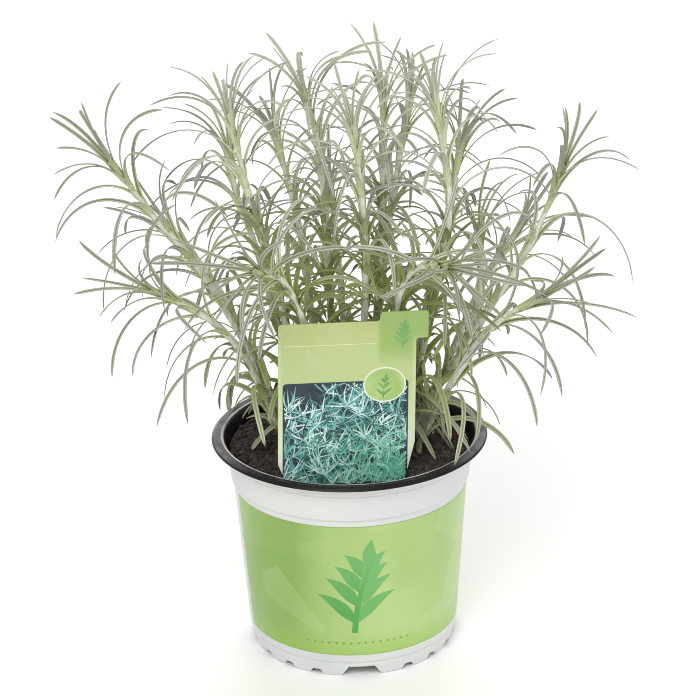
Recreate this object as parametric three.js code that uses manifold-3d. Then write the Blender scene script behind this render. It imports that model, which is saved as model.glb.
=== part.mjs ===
// A curry plant in its nursery pot: a formed plastic pot, the soil that fills it, a stick-in plant tag
// and a bush of woolly stems with narrow, arching leaves. Millimetres, +Z up. The origin is on the pot's
// axis at the foot's lower face, and the tag faces -Y.
import * as THREE from "three";
import { mergeVertices } from "three/addons/utils/BufferGeometryUtils.js";
import Module from "manifold-3d";

const wasm = await Module();
wasm.setup();

// Pot
const RIM_RADIUS = 60;
const POT_HEIGHT = 97;
const WALL = 1.1;
const FOOT_RADIUS = 43.9;
const FOOT_WIDTH = 1.8;
const FLOOR_UNDERSIDE = 5.5;
const FLOOR_TOP = 6.8;
const POT_SIDES = 36;
const LINE_LOW = 6.5;
const BODY_TOP = 77;
const BODY_RADIUS_LOW = 45.8;
const BODY_RADIUS_HIGH = 51;
const COLLAR_RADIUS_LOW = 52.1;
const COLLAR_RADIUS_HIGH = 53.9;
const COLLAR_LINE = 90;
const RIM_UNDERSIDE = POT_HEIGHT - 2.6;
const DRAIN_HOLES = 6;
const DRAIN_RADIUS = 3.5;
const DRAIN_CIRCLE = 26;
const DRAIN_SIDES = 8;

// Notches in the foot's skirt: a wide one in each quarter and small ones between the tabs
const FOOT_TURN = 4;
const WIDE_NOTCH = { width: 17.6, topWidth: 11, height: 4.6 };
const SMALL_NOTCH = { width: 6.4, topWidth: 3.4, height: 2.2 };
const SMALL_NOTCH_ANGLES = [28, 46, 64];

// Soil
const CLEARANCE = 0.3;
const SOIL_EDGE = 91;
const SOIL_CROWN = 93.4;
const MOUND_RADIUS = 51;
const SOIL_SIDES = 18;
const SOIL_BUMP = 0.7;

// Tag, measured up its own face from a point in the soil
const TAG_THICKNESS = 0.6;
const TAG_HALF_WIDTH = 29.2;
const TAG_HEIGHT = 72.2;
const TAG_PLACE = { x: -1.8, y: -37.4, z: 89 };
const TAG_LEAN = THREE.MathUtils.degToRad(3);
const TAG_ROLL = THREE.MathUtils.degToRad(2.1);
const TAG_TURN = THREE.MathUtils.degToRad(7.8);
const TAB_LEFT = 13.8;
const TAB_RIGHT = 34.3;
const TAB_TOP = 76.2;
const TAB_BOTTOM = 64.2;
const TAG_CORNER = 1.6;
const SHOULDER_LEFT = 10;
const SHOULDER_RIGHT = 18;
const SHOULDER_BOTTOM = -2;
const SHOULDER_HALF_WIDTH = 24.4;
const STAKE_HALF_WIDTH = 9;
const STAKE_LENGTH = 42;

// Stems
const STEM_SIDES = 6;
const STEM_STEPS = 7;
const SIDE_SHOOT_STEPS = 4;
const STEM_DEPTH = 24;
const STEM_RADIUS_LOW = 1.6;
const STEM_RADIUS_MID = 1.9;
const STEM_RADIUS_TIP = 1;
const BARE_LENGTH = 10;
const LAST_LEAF = 2.5;

// Leaves
const LEAF_SPACING = 5.9;
const LEAF_LENGTH = 57;
const LEAF_WIDTH = 2.3;
const LEAF_THICKNESS = 0.9;
const FINE_STEPS = 18;
const LONG_LEAF_RINGS = [0, 2, 6, 10, 14, 18];
const SHORT_LEAF_RINGS = [0, 2, 7, 12, 18];
const GOLDEN_ANGLE = THREE.MathUtils.degToRad(137.508);
const TRIES = 14;

// How near another stem's leaf, another stem, the tag, the rim and the soil may come to a leaf's middle line
const LEAF_REACH = 1.2;
const STEM_REACH = 2.05;
const BESIDE_TAG = 2.4;
const OVER_TAG = 2.5;
const FRONT_SLOPE = 0.42;
const ABOVE_RIM = 2.2;
const ABOVE_SOIL = 2.8;

// Where each stem stands in the soil, and three points that it grows through
const STEMS = [
  { base: [-25, 3], route: [[-57, 4, 163], [-79, 0, 196], [-97, -8, 225]] },
  { base: [-27, -10], route: [[-43, -14, 137], [-58, -24, 160], [-80, -36, 178]] },
  { base: [-14, -9], route: [[-28, -12, 163], [-39, -8, 207], [-47, -4, 243]] },
  { base: [-6, 6], route: [[-8, 12, 192], [-11, 12, 226], [-15, 8, 247]] },
  { base: [9, 12], route: [[16, 20, 184], [17, 22, 218], [18, 22, 242]] },
  { base: [3, -16], route: [[8, -20, 166], [8, -24, 205], [4, -26, 244]] },
  { base: [22, -10], route: [[37, -14, 163], [44, -12, 204], [39, -6, 248]] },
  {
    base: [28, 5],
    route: [[53, 3, 138], [77, 0, 178], [92, -6, 218]],
    shoot: [[51, 3, 134], [58, 8, 160], [57, 10, 188]],
  },
  { base: [-21, 15], route: [[-36, 30, 161], [-46, 40, 190], [-50, 48, 212]] },
  { base: [24, 18], route: [[39, 36, 158], [47, 50, 185], [52, 60, 207]] },
  { base: [-12, 26], route: [[-18, 45, 160], [-24, 57, 190], [-30, 67, 213]] },
  { base: [10, 27], route: [[18, 46, 165], [24, 60, 196], [30, 70, 222]] },
  { base: [-1, 34], route: [[-2, 54, 140], [-4, 64, 165], [-6, 70, 187]] },
  { base: [-10, -22], route: [[-16, -27, 150], [-25, -44, 183], [-37, -71, 199]] },
  { base: [14, -24], route: [[19, -19, 150], [27, -35, 183], [41, -70, 199]] },
  { base: [30, -12], route: [[48, -22, 135], [62, -36, 160], [80, -48, 176]] },
  { base: [-30, 10], route: [[-50, 34, 138], [-64, 48, 158], [-78, 58, 172]] },
  { base: [33, 12], route: [[54, 34, 138], [66, 48, 154], [77, 58, 166]] },
];

const POT_MATERIAL = { name: "pot", color: 0xe4e6e4, roughness: 0.45, metalness: 0 };
const SOIL_MATERIAL = { name: "soil", color: 0x2b211b, roughness: 1, metalness: 0 };
const TAG_MATERIAL = { name: "tag", color: 0xb9cf84, roughness: 0.4, metalness: 0 };
const LEAF_MATERIAL = { name: "foliage", color: 0xa3b184, roughness: 0.85, metalness: 0 };

const part = new THREE.Group();
part.name = "potted_curry_plant";

// Solids

// A closed geometry as a solid, with the triangles left out that merging its vertices flattens.
function solidOf(geometry) {
  const bare = geometry.clone();
  bare.deleteAttribute("normal");
  bare.deleteAttribute("uv");
  const merged = mergeVertices(bare, 1e-4);
  const corners = merged.index.array;
  const kept = [];
  for (let i = 0; i < corners.length; i += 3) {
    const [a, b, c] = corners.slice(i, i + 3);
    if (a !== b && b !== c && c !== a) kept.push(a, b, c);
  }
  return new wasm.Manifold(
    new wasm.Mesh({
      numProp: 3,
      vertProperties: new Float32Array(merged.attributes.position.array),
      triVerts: new Uint32Array(kept),
    }),
  );
}

function geometryOf(solid) {
  const mesh = solid.getMesh();
  const geometry = new THREE.BufferGeometry();
  geometry.setAttribute("position", new THREE.BufferAttribute(mesh.vertProperties, 3));
  geometry.setIndex(new THREE.BufferAttribute(mesh.triVerts, 1));
  geometry.computeVertexNormals();
  return geometry;
}

function addPiece(name, solid, look) {
  const mesh = new THREE.Mesh(geometryOf(solid), new THREE.MeshStandardMaterial(look));
  mesh.name = name;
  part.add(mesh);
}

// A profile of [radius, height] points turned about the Z axis.
function turned(profile, sides) {
  const points = profile.map(([radius, height]) => new THREE.Vector2(radius, height));
  return new THREE.LatheGeometry(points, sides).rotateX(Math.PI / 2);
}

// An upright cylinder from one height to another.
function post(x, y, low, high, radius, sides) {
  const geometry = new THREE.CylinderGeometry(radius, radius, high - low, sides);
  return solidOf(geometry.rotateX(Math.PI / 2).translate(x, y, (low + high) / 2));
}

// Pot

// The wall's outer face from the low mould line to the collar, as [radius, height] points.
const WALL_OUTSIDE = [
  [BODY_RADIUS_LOW, LINE_LOW + 1.5],
  [BODY_RADIUS_HIGH, BODY_TOP],
  [COLLAR_RADIUS_LOW, BODY_TOP + 1.4],
  [COLLAR_RADIUS_HIGH - 0.7, COLLAR_LINE - 0.5],
  [COLLAR_RADIUS_HIGH - 0.2, COLLAR_LINE],
];

const RIM_SECTION = [
  [COLLAR_RADIUS_HIGH, RIM_UNDERSIDE],
  [RIM_RADIUS - 0.8, RIM_UNDERSIDE],
  [RIM_RADIUS, RIM_UNDERSIDE + 1],
  [RIM_RADIUS - 1.4, POT_HEIGHT],
  [RIM_RADIUS - 3.6, POT_HEIGHT - 0.5],
  [RIM_RADIUS - 5, POT_HEIGHT - 0.1],
  [RIM_RADIUS - 6.2, POT_HEIGHT - 0.9],
];

function potProfile() {
  const inside = WALL_OUTSIDE.slice(0, -1).map(([radius, height]) => [radius - WALL, height]);
  inside.reverse();
  const floorEdge = BODY_RADIUS_LOW - WALL - 1.2;
  return [
    [0, FLOOR_UNDERSIDE],
    [FOOT_RADIUS - FOOT_WIDTH - 1, FLOOR_UNDERSIDE],
    [FOOT_RADIUS - FOOT_WIDTH, 0],
    [FOOT_RADIUS, 0],
    [BODY_RADIUS_LOW - 0.6, LINE_LOW],
    ...WALL_OUTSIDE,
    ...RIM_SECTION,
    ...inside,
    [floorEdge, FLOOR_TOP],
    [0, FLOOR_TOP],
  ];
}

// A notch through the foot's skirt, narrower at its top, at an angle from the front.
function footNotch({ width, topWidth, height }, degrees) {
  const shape = new THREE.Shape();
  const lowWidth = width + (width - topWidth) / height;
  shape.moveTo(-lowWidth / 2, -1);
  shape.lineTo(lowWidth / 2, -1);
  shape.lineTo(topWidth / 2, height);
  shape.lineTo(-topWidth / 2, height);
  shape.closePath();
  const length = 3 * FOOT_WIDTH;
  const notch = new THREE.ExtrudeGeometry(shape, { depth: length, bevelEnabled: false });
  notch.rotateX(Math.PI / 2).translate(0, length - FOOT_RADIUS - 1, 0);
  return solidOf(notch.rotateZ(THREE.MathUtils.degToRad(degrees)));
}

function makePot() {
  const cuts = [];
  for (let quarter = 0; quarter < 4; quarter++) {
    const turn = FOOT_TURN + 90 * quarter;
    cuts.push(footNotch(WIDE_NOTCH, turn));
    for (const angle of SMALL_NOTCH_ANGLES) cuts.push(footNotch(SMALL_NOTCH, turn + angle));
  }
  for (let i = 0; i < DRAIN_HOLES; i++) {
    const angle = (2 * Math.PI * i) / DRAIN_HOLES;
    const x = DRAIN_CIRCLE * Math.cos(angle);
    const y = DRAIN_CIRCLE * Math.sin(angle);
    cuts.push(post(x, y, FLOOR_UNDERSIDE - 1, FLOOR_TOP + 1, DRAIN_RADIUS, DRAIN_SIDES));
  }
  const body = solidOf(turned(potProfile(), POT_SIDES));
  addPiece("pot", body.subtract(wasm.Manifold.union(cuts)), POT_MATERIAL);
}

// Soil

// The soil's height at a distance from the axis: a low mound with small bumps.
function soilHeight(x, y) {
  const share = Math.hypot(x, y) / MOUND_RADIUS;
  const mound = SOIL_EDGE + (SOIL_CROWN - SOIL_EDGE) * (1 - share * share);
  return mound + SOIL_BUMP * Math.sin(0.21 * x + 1) * Math.cos(0.17 * y);
}

function makeSoil() {
  const [low, bodyTop, collarLow, collarHigh] = WALL_OUTSIDE;
  const inner = (radius) => radius - WALL - CLEARANCE;
  const edge = inner(collarHigh[0]) - 0.1;
  const profile = [
    [0, FLOOR_TOP + CLEARANCE],
    [inner(low[0]) - 1.2, FLOOR_TOP + CLEARANCE],
    [inner(low[0]), low[1] + 0.5],
    [inner(bodyTop[0]), bodyTop[1]],
    [inner(collarLow[0]), collarLow[1] + 0.5],
    [edge, SOIL_EDGE],
  ];
  const lastSide = profile.length - 1;
  for (const share of [0.75, 0.5, 0.25, 0]) profile.push([edge * share, SOIL_EDGE]);
  const ground = turned(profile, SOIL_SIDES);
  const place = ground.attributes.position;
  for (let i = 0; i < place.count; i++) {
    const raised = i % profile.length >= lastSide;
    if (raised) place.setZ(i, soilHeight(place.getX(i), place.getY(i)));
  }
  let soil = solidOf(ground);
  for (const stem of stems) {
    const [x, y] = stem.base;
    const bottom = stem.ground - STEM_DEPTH - CLEARANCE;
    const radius = STEM_RADIUS_LOW + CLEARANCE / Math.cos(Math.PI / STEM_SIDES);
    soil = soil.subtract(post(x, y, bottom, stem.ground + 4, radius, STEM_SIDES));
  }
  addPiece("soil", soil.subtract(solidOf(tagPlate(CLEARANCE))), SOIL_MATERIAL);
}

// Tag

// The tag's outline, grown by a margin, from the stake's point round the plate and its corner tab.
function tagOutline(margin) {
  const side = TAG_HALF_WIDTH + margin;
  const shape = new THREE.Shape();
  shape.moveTo(0, -STAKE_LENGTH - 1.5 * margin);
  shape.lineTo(STAKE_HALF_WIDTH + margin, 12 - STAKE_LENGTH);
  shape.lineTo(STAKE_HALF_WIDTH + margin, -10 - margin);
  shape.lineTo(SHOULDER_HALF_WIDTH + margin, SHOULDER_BOTTOM - margin);
  shape.lineTo(side, SHOULDER_RIGHT);
  shape.lineTo(side, TAB_BOTTOM - TAG_CORNER);
  shape.quadraticCurveTo(side, TAB_BOTTOM, side + TAG_CORNER, TAB_BOTTOM);
  shape.lineTo(TAB_RIGHT - TAG_CORNER, TAB_BOTTOM);
  shape.quadraticCurveTo(TAB_RIGHT, TAB_BOTTOM, TAB_RIGHT, TAB_BOTTOM + TAG_CORNER);
  shape.lineTo(TAB_RIGHT, TAB_TOP - TAG_CORNER);
  shape.quadraticCurveTo(TAB_RIGHT, TAB_TOP, TAB_RIGHT - TAG_CORNER, TAB_TOP);
  shape.lineTo(TAB_LEFT + TAG_CORNER, TAB_TOP);
  shape.quadraticCurveTo(TAB_LEFT, TAB_TOP, TAB_LEFT, TAB_TOP - TAG_CORNER);
  shape.lineTo(TAB_LEFT, TAG_HEIGHT + TAG_CORNER);
  shape.quadraticCurveTo(TAB_LEFT, TAG_HEIGHT, TAB_LEFT - TAG_CORNER, TAG_HEIGHT);
  shape.lineTo(TAG_CORNER - side, TAG_HEIGHT);
  shape.quadraticCurveTo(-side, TAG_HEIGHT, -side, TAG_HEIGHT - TAG_CORNER);
  shape.lineTo(-side, SHOULDER_LEFT);
  shape.lineTo(-SHOULDER_HALF_WIDTH - margin, SHOULDER_BOTTOM - margin);
  shape.lineTo(-STAKE_HALF_WIDTH - margin, -10 - margin);
  shape.lineTo(-STAKE_HALF_WIDTH - margin, 12 - STAKE_LENGTH);
  shape.closePath();
  return shape;
}

// The tag's plate, upright behind the front of the rim, leaning back and turned a little.
function tagPlate(margin) {
  const depth = TAG_THICKNESS + 2 * margin;
  const settings = { depth, bevelEnabled: false, curveSegments: 3 };
  const plate = new THREE.ExtrudeGeometry(tagOutline(margin), settings);
  plate.translate(0, 0, -depth / 2).rotateZ(-TAG_ROLL).rotateX(Math.PI / 2 - TAG_LEAN);
  return plate.rotateZ(TAG_TURN).translate(TAG_PLACE.x, TAG_PLACE.y, TAG_PLACE.z);
}

// Growth

// A fixed pseudo-random number from 0 to 1 for each stem, leaf and use.
function draw(stem, leaf, use) {
  const wave = Math.sin(stem * 127.1 + leaf * 311.7 + use * 74.7) * 43758.5453;
  return wave - Math.floor(wave);
}

function mix(a, b, share) {
  return a + (b - a) * share;
}

// Points at even shares of a smooth curve through the route.
function curvePoints(route, steps) {
  const curve = new THREE.CatmullRomCurve3(route, false, "catmullrom", 0.5);
  return Array.from({ length: steps + 1 }, (_, i) => curve.getPoint(i / steps));
}

// A shoot's middle line with the length passed at each of its points.
function measured(points) {
  const lengths = [0];
  for (let i = 1; i < points.length; i++) {
    lengths.push(lengths[i - 1] + points[i].distanceTo(points[i - 1]));
  }
  return { points, lengths, total: lengths.at(-1) };
}

// The point and the direction at a length along a shoot.
function alongShoot(shoot, length) {
  let i = 1;
  while (i < shoot.points.length - 1 && shoot.lengths[i] < length) i++;
  const share = (length - shoot.lengths[i - 1]) / (shoot.lengths[i] - shoot.lengths[i - 1]);
  const direction = shoot.points[i].clone().sub(shoot.points[i - 1]).normalize();
  return { point: shoot.points[i - 1].clone().lerp(shoot.points[i], share), direction };
}

function growStem({ base, route, shoot }, index) {
  const ground = soilHeight(...base);
  const foot = new THREE.Vector3(base[0], base[1], ground + 3);
  const through = (places) => places.map((place) => new THREE.Vector3(...place));
  const shoots = [measured(curvePoints([foot, ...through(route)], STEM_STEPS))];
  if (shoot) shoots.push(measured(curvePoints(through(shoot), SIDE_SHOOT_STEPS)));
  const name = "leafy_stem_" + String(index + 1).padStart(2, "0");
  return { name, base, ground, shoots, leaves: [] };
}

// One leaf's middle line. It leaves the shoot nearly along it, arches over and ends pointing down, and the
// youngest ones, at the tip, stand upright. A later try turns it about the shoot and shortens it.
function leafLine(stemIndex, shoot, order, length, attempt) {
  const key = (use) => draw(stemIndex, order, use);
  const { point, direction } = alongShoot(shoot, length);
  const young = Math.exp((length - shoot.total) / 11);
  const turnAside = Math.ceil(attempt / 2) * (attempt % 2 ? 1 : -1) * 0.16;
  const around = order * GOLDEN_ANGLE + mix(-0.2, 0.2, key(1)) + turnAside;
  const across = new THREE.Vector3(0, 1, 0).cross(direction).normalize();
  const ahead = direction.clone().cross(across);
  const start = mix(0.55, 0.18, young);
  const bend = mix(mix(1.3, 2.3, key(2)), 0.45, young) * (1 - 0.02 * attempt);
  const sway = mix(-0.5, 0.5, key(3));
  const droop = mix(0.85, 0.2, young);
  const grown = 1 - 0.3 * Math.exp(-length / 25) - 0.46 * young;
  const reach = LEAF_LENGTH * grown * mix(0.84, 1.1, key(4)) * (1 - 0.03 * attempt);
  const at = point.clone();
  const line = [at.clone()];
  for (let i = 0; i < FINE_STEPS; i++) {
    const share = (i + 0.5) / FINE_STEPS;
    const side = around + sway * share;
    const outward = across.clone().multiplyScalar(Math.cos(side));
    outward.addScaledVector(ahead, Math.sin(side));
    const angle = start + bend * Math.pow(share, 1.3);
    const heading = direction.clone().multiplyScalar(Math.cos(angle));
    heading.addScaledVector(outward, Math.sin(angle));
    heading.z -= droop * share;
    at.addScaledVector(heading.normalize(), reach / FINE_STEPS);
    line.push(at.clone());
  }
  const spin = new THREE.Vector3().crossVectors(direction, line[2].clone().sub(point)).normalize();
  const width = LEAF_WIDTH * mix(1.1, 0.8, young) * mix(0.85, 1.1, key(5));
  return { line, spin, width, young, low: length < 0.38 * shoot.total };
}

// The shortest distance between the straight pieces a-b and c-d.
function pieceDistance(a, b, c, d) {
  const u = b.clone().sub(a);
  const v = d.clone().sub(c);
  const w = a.clone().sub(c);
  const uu = u.dot(u);
  const uv = u.dot(v);
  const vv = v.dot(v);
  const uw = u.dot(w);
  const vw = v.dot(w);
  const even = uu * vv - uv * uv;
  let s = even > 1e-9 ? THREE.MathUtils.clamp((uv * vw - vv * uw) / even, 0, 1) : 0;
  const t = THREE.MathUtils.clamp((uv * s + vw) / vv, 0, 1);
  s = THREE.MathUtils.clamp((uv * t - uw) / uu, 0, 1);
  return w.addScaledVector(u, s).addScaledVector(v, -t).length();
}

const taken = [];

// Notes a line's straight pieces as taken up by a stem.
function take(owner, line, reach) {
  for (let i = 1; i < line.length; i++) {
    const [a, b] = [line[i - 1], line[i]];
    const middle = a.clone().lerp(b, 0.5);
    taken.push({ owner, a, b, middle, half: a.distanceTo(b) / 2, reach });
  }
}

function clearOfOthers(owner, line, reach) {
  for (let i = 1; i < line.length; i++) {
    const [a, b] = [line[i - 1], line[i]];
    const middle = a.clone().lerp(b, 0.5);
    const half = a.distanceTo(b) / 2;
    for (const other of taken) {
      const space = reach + other.reach + CLEARANCE;
      if (other.owner === owner) continue;
      if (middle.distanceTo(other.middle) > space + half + other.half) continue;
      if (pieceDistance(a, b, other.a, other.b) < space) return false;
    }
  }
  return true;
}

// Whether a point keeps off the soil, the rim and the tag, and hangs over the tag's face nowhere.
function clearOfPot({ x, y, z }) {
  const radius = Math.hypot(x, y);
  const well = RIM_RADIUS - 9;
  if (radius < well && z < SOIL_CROWN + ABOVE_SOIL) return false;
  if (radius >= well && radius < RIM_RADIUS + 2 && z < POT_HEIGHT + ABOVE_RIM) return false;
  const up = z - TAG_PLACE.z;
  const [aside, away] = [x - TAG_PLACE.x, y - TAG_PLACE.y];
  const beside = aside * Math.cos(TAG_TURN) + away * Math.sin(TAG_TURN);
  const behind = away * Math.cos(TAG_TURN) - aside * Math.sin(TAG_TURN) - up * Math.tan(TAG_LEAN);
  const top = TAB_TOP + OVER_TAG + FRONT_SLOPE * Math.max(-behind, 0);
  const within = beside > -TAG_HALF_WIDTH - OVER_TAG && beside < TAB_RIGHT + OVER_TAG;
  return behind > BESIDE_TAG || up > top || !within;
}

function lineClearOfPot(line) {
  const halfway = (i) => line[i].clone().lerp(line[i - 1], 0.5);
  return line.every((point, i) => i < 3 || (clearOfPot(point) && clearOfPot(halfway(i))));
}

// A leaf's line with only the points that its facets use: fewer on a young leaf and low on the shoot.
function coarse({ line, young, low }) {
  const rings = young > 0.3 || low ? SHORT_LEAF_RINGS : LONG_LEAF_RINGS;
  return rings.map((ring) => line[ring]);
}

// Leaves up a shoot by the golden angle, closer together towards its tip. One that would cross another
// stem's leaves is bent clear, and left out where no bend clears it.
function growLeaves(stem, stemIndex, shoot, first) {
  const leafy = shoot.total - BARE_LENGTH - LAST_LEAF;
  const count = Math.round(leafy / LEAF_SPACING);
  for (let i = 0; i < count; i++) {
    const share = 1 - Math.pow(1 - i / (count - 1), 1.5);
    const length = BARE_LENGTH + leafy * share;
    for (let attempt = 0; attempt < TRIES; attempt++) {
      const leaf = leafLine(stemIndex, shoot, first + i, length, attempt);
      const line = coarse(leaf);
      if (!lineClearOfPot(leaf.line)) continue;
      if (!clearOfOthers(stem, line, LEAF_REACH)) continue;
      take(stem, line, LEAF_REACH);
      stem.leaves.push({ ...leaf, facets: line });
      break;
    }
  }
}

// Bends a unit cylinder or cone along a line. Each ring of its vertices lies across the line, with the
// section's first axis along the ring's side, scaled by size(share) = [across, through].
function bent(geometry, line, sideAt, size) {
  const place = geometry.attributes.position;
  const last = line.length - 1;
  for (let i = 0; i < place.count; i++) {
    const ring = Math.round((place.getY(i) + 0.5) * last);
    const before = line[Math.max(ring - 1, 0)];
    const after = line[Math.min(ring + 1, last)];
    const forward = after.clone().sub(before).normalize();
    const side = sideAt(forward);
    const out = side.clone().cross(forward).normalize();
    const [across, through] = size(ring / last);
    const point = line[ring].clone();
    point.addScaledVector(side, place.getX(i) * across);
    point.addScaledVector(out, place.getZ(i) * through);
    place.setXYZ(i, point.x, point.y, point.z);
  }
  return solidOf(geometry);
}

// A three-sided blade, pointed at both ends, with its flat face towards the shoot and its keel away from it.
// Its root is a point on the shoot's middle line.
function leafSolid({ facets, spin, width }) {
  const steps = facets.length - 1;
  const blade = new THREE.CylinderGeometry(1, 1, 1, 3, steps, true);
  const sideAt = (forward) => {
    return spin.clone().addScaledVector(forward, -spin.dot(forward)).normalize();
  };
  const size = (share) => {
    if (share === 0 || share === 1) return [0, 0];
    const across = (width / Math.sqrt(3)) * (1 - 0.35 * share * share);
    return [across, LEAF_THICKNESS / 1.5];
  };
  return bent(blade, facets, sideAt, size);
}

function shootSolid(shoot, lowRadius) {
  const tube = new THREE.CylinderGeometry(1, 1, 1, STEM_SIDES, shoot.length - 1);
  const sideAt = (forward) => new THREE.Vector3(0, 1, 0).cross(forward).normalize();
  const size = (share) => {
    const swell = mix(lowRadius, STEM_RADIUS_MID, Math.min(share * 3, 1));
    const radius = mix(swell, STEM_RADIUS_TIP, share * share);
    return [radius, radius];
  };
  return bent(tube, shoot, sideAt, size);
}

function stemSolid(stem) {
  const [main, ...others] = stem.shoots;
  const [x, y] = stem.base;
  const buried = new THREE.Vector3(x, y, stem.ground - STEM_DEPTH);
  const pieces = [shootSolid([buried, ...main.points], STEM_RADIUS_LOW)];
  for (const shoot of others) pieces.push(shootSolid(shoot.points, STEM_RADIUS_LOW));
  for (const leaf of stem.leaves) pieces.push(leafSolid(leaf));
  return wasm.Manifold.union(pieces).simplify(0.01);
}

const stems = STEMS.map(growStem);
for (const stem of stems) {
  for (const shoot of stem.shoots) take(stem, shoot.points, STEM_REACH);
}
stems.forEach((stem, index) => {
  stem.shoots.forEach((shoot, which) => growLeaves(stem, index, shoot, 100 * which));
});

makePot();
makeSoil();
addPiece("plant_tag", solidOf(tagPlate(0)), TAG_MATERIAL);
for (const stem of stems) addPiece(stem.name, stemSolid(stem), LEAF_MATERIAL);

export default part;
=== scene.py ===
import math

import bmesh
import bpy
import numpy as np
from mathutils import Matrix, Vector, noise
from mathutils.geometry import delaunay_2d_cdt


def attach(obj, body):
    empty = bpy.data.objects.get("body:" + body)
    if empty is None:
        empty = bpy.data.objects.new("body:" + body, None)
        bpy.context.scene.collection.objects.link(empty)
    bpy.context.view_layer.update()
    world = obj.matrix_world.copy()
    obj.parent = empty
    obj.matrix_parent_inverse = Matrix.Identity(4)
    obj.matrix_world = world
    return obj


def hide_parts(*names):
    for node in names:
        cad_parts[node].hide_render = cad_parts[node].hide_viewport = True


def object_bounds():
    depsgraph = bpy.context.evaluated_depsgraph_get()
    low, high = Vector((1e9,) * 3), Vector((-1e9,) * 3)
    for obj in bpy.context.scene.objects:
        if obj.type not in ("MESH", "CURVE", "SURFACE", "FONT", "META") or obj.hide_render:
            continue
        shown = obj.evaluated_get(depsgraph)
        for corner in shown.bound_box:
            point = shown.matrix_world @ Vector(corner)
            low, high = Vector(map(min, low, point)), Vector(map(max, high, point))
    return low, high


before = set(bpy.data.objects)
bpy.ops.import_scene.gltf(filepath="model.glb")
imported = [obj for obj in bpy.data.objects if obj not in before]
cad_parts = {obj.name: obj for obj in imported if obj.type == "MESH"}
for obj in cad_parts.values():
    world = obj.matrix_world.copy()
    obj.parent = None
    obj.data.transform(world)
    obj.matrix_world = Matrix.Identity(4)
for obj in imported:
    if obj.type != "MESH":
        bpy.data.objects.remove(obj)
cad_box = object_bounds()
scene = bpy.context.scene

# Everything below is measured in millimetres until a mesh is made.
MM = 0.001

# Pot
RIM_RADIUS = 60.0
POT_HEIGHT = 97.0
WALL = 1.1
FOOT_RADIUS = 43.9
FOOT_WIDTH = 1.8
FLOOR_UNDERSIDE = 5.5
FLOOR_TOP = 6.8
BODY_RADIUS_LOW = 45.8
BODY_LOW = 8.0
BODY_RADIUS_HIGH = 51.0
BODY_TOP = 77.0
COLLAR_RADIUS_LOW = 52.1
COLLAR_LINE = 90.0
COLLAR_RADIUS_HIGH = 53.9
RIM_UNDERSIDE = POT_HEIGHT - 2.6
# The sheet's black side starts a little above the rim's lower edge
BLACK_FROM = RIM_UNDERSIDE + 0.85
LINE_LOW = 6.5
DRAIN_HOLES = 6
DRAIN_RADIUS = 3.5
DRAIN_CIRCLE = 26.0
DRAIN_SIDES = 28
FLAT_FLOOR_RADIUS = FOOT_RADIUS * 0.75
FOOT_TURN = 4.0
# Each notch's width at the bottom, its width at the top, and its height
WIDE_NOTCH = (17.6, 11.0, 4.6)
SMALL_NOTCH = (6.4, 3.4, 2.2)
SMALL_NOTCH_ANGLES = (28.0, 46.0, 64.0)

# Soil
SOIL_EDGE = 91.0
SOIL_CROWN = 93.4
MOUND_RADIUS = 51.0
SOIL_BUMP = 0.7
DIP_AT_TAG = 4.0

# Tag, measured up its own face from a point in the soil
TAG_THICKNESS = 0.6
TAG_HALF_WIDTH = 29.2
TAG_HEIGHT = 72.2
TAG_X, TAG_Y, TAG_Z = -1.8, -37.4, 89.0
TAG_LEAN = math.radians(3)
TAG_ROLL = math.radians(2.1)
TAG_TURN = math.radians(7.8)
TAB_LEFT = 13.8
TAB_RIGHT = 34.3
TAB_TOP = 76.2
TAB_BOTTOM = 64.2
TAG_CORNER = 1.6
SHOULDER_LEFT = 10.0
SHOULDER_RIGHT = 18.0
SHOULDER_BOTTOM = -2.0
SHOULDER_HALF_WIDTH = 24.4
STAKE_HALF_WIDTH = 9.0
STAKE_LENGTH = 42.0

# Stems
STEM_STEPS = 7
SIDE_SHOOT_STEPS = 4
STEM_DEPTH = 24.0
STEM_RADIUS_LOW = 1.6
STEM_RADIUS_MID = 1.9
STEM_RADIUS_TIP = 1.0
BARE_LENGTH = 10.0
LAST_LEAF = 2.5
SHOOT_FINE_STEPS = 64
SHOOT_SIDES = 22
SHOOT_TIP = 1.2
# The solids' stems are thicker than the real ones
SHOOT_SHARE = 0.82

# Leaves
LEAF_SPACING = 5.9
LEAF_LENGTH = 57.0
LEAF_WIDTH = 2.3
FINE_STEPS = 18
LONG_LEAF_RINGS = [0, 2, 6, 10, 14, 18]
SHORT_LEAF_RINGS = [0, 2, 7, 12, 18]
CROWN_LEAVES = 6
# The low stems at both sides bear no leaves between the solids' ones
OUTER_STEMS = (1, 15, 16, 17)
GOLDEN_ANGLE = math.radians(137.508)
TRIES = 14
CLEARANCE = 0.3
BOX_MARGIN = 0.5
LEAF_REACH = 1.2
STEM_REACH = 2.05
BESIDE_TAG = 2.4
OVER_TAG = 2.5
FRONT_SLOPE = 0.42
ABOVE_RIM = 2.2
ABOVE_SOIL = 2.8

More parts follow.
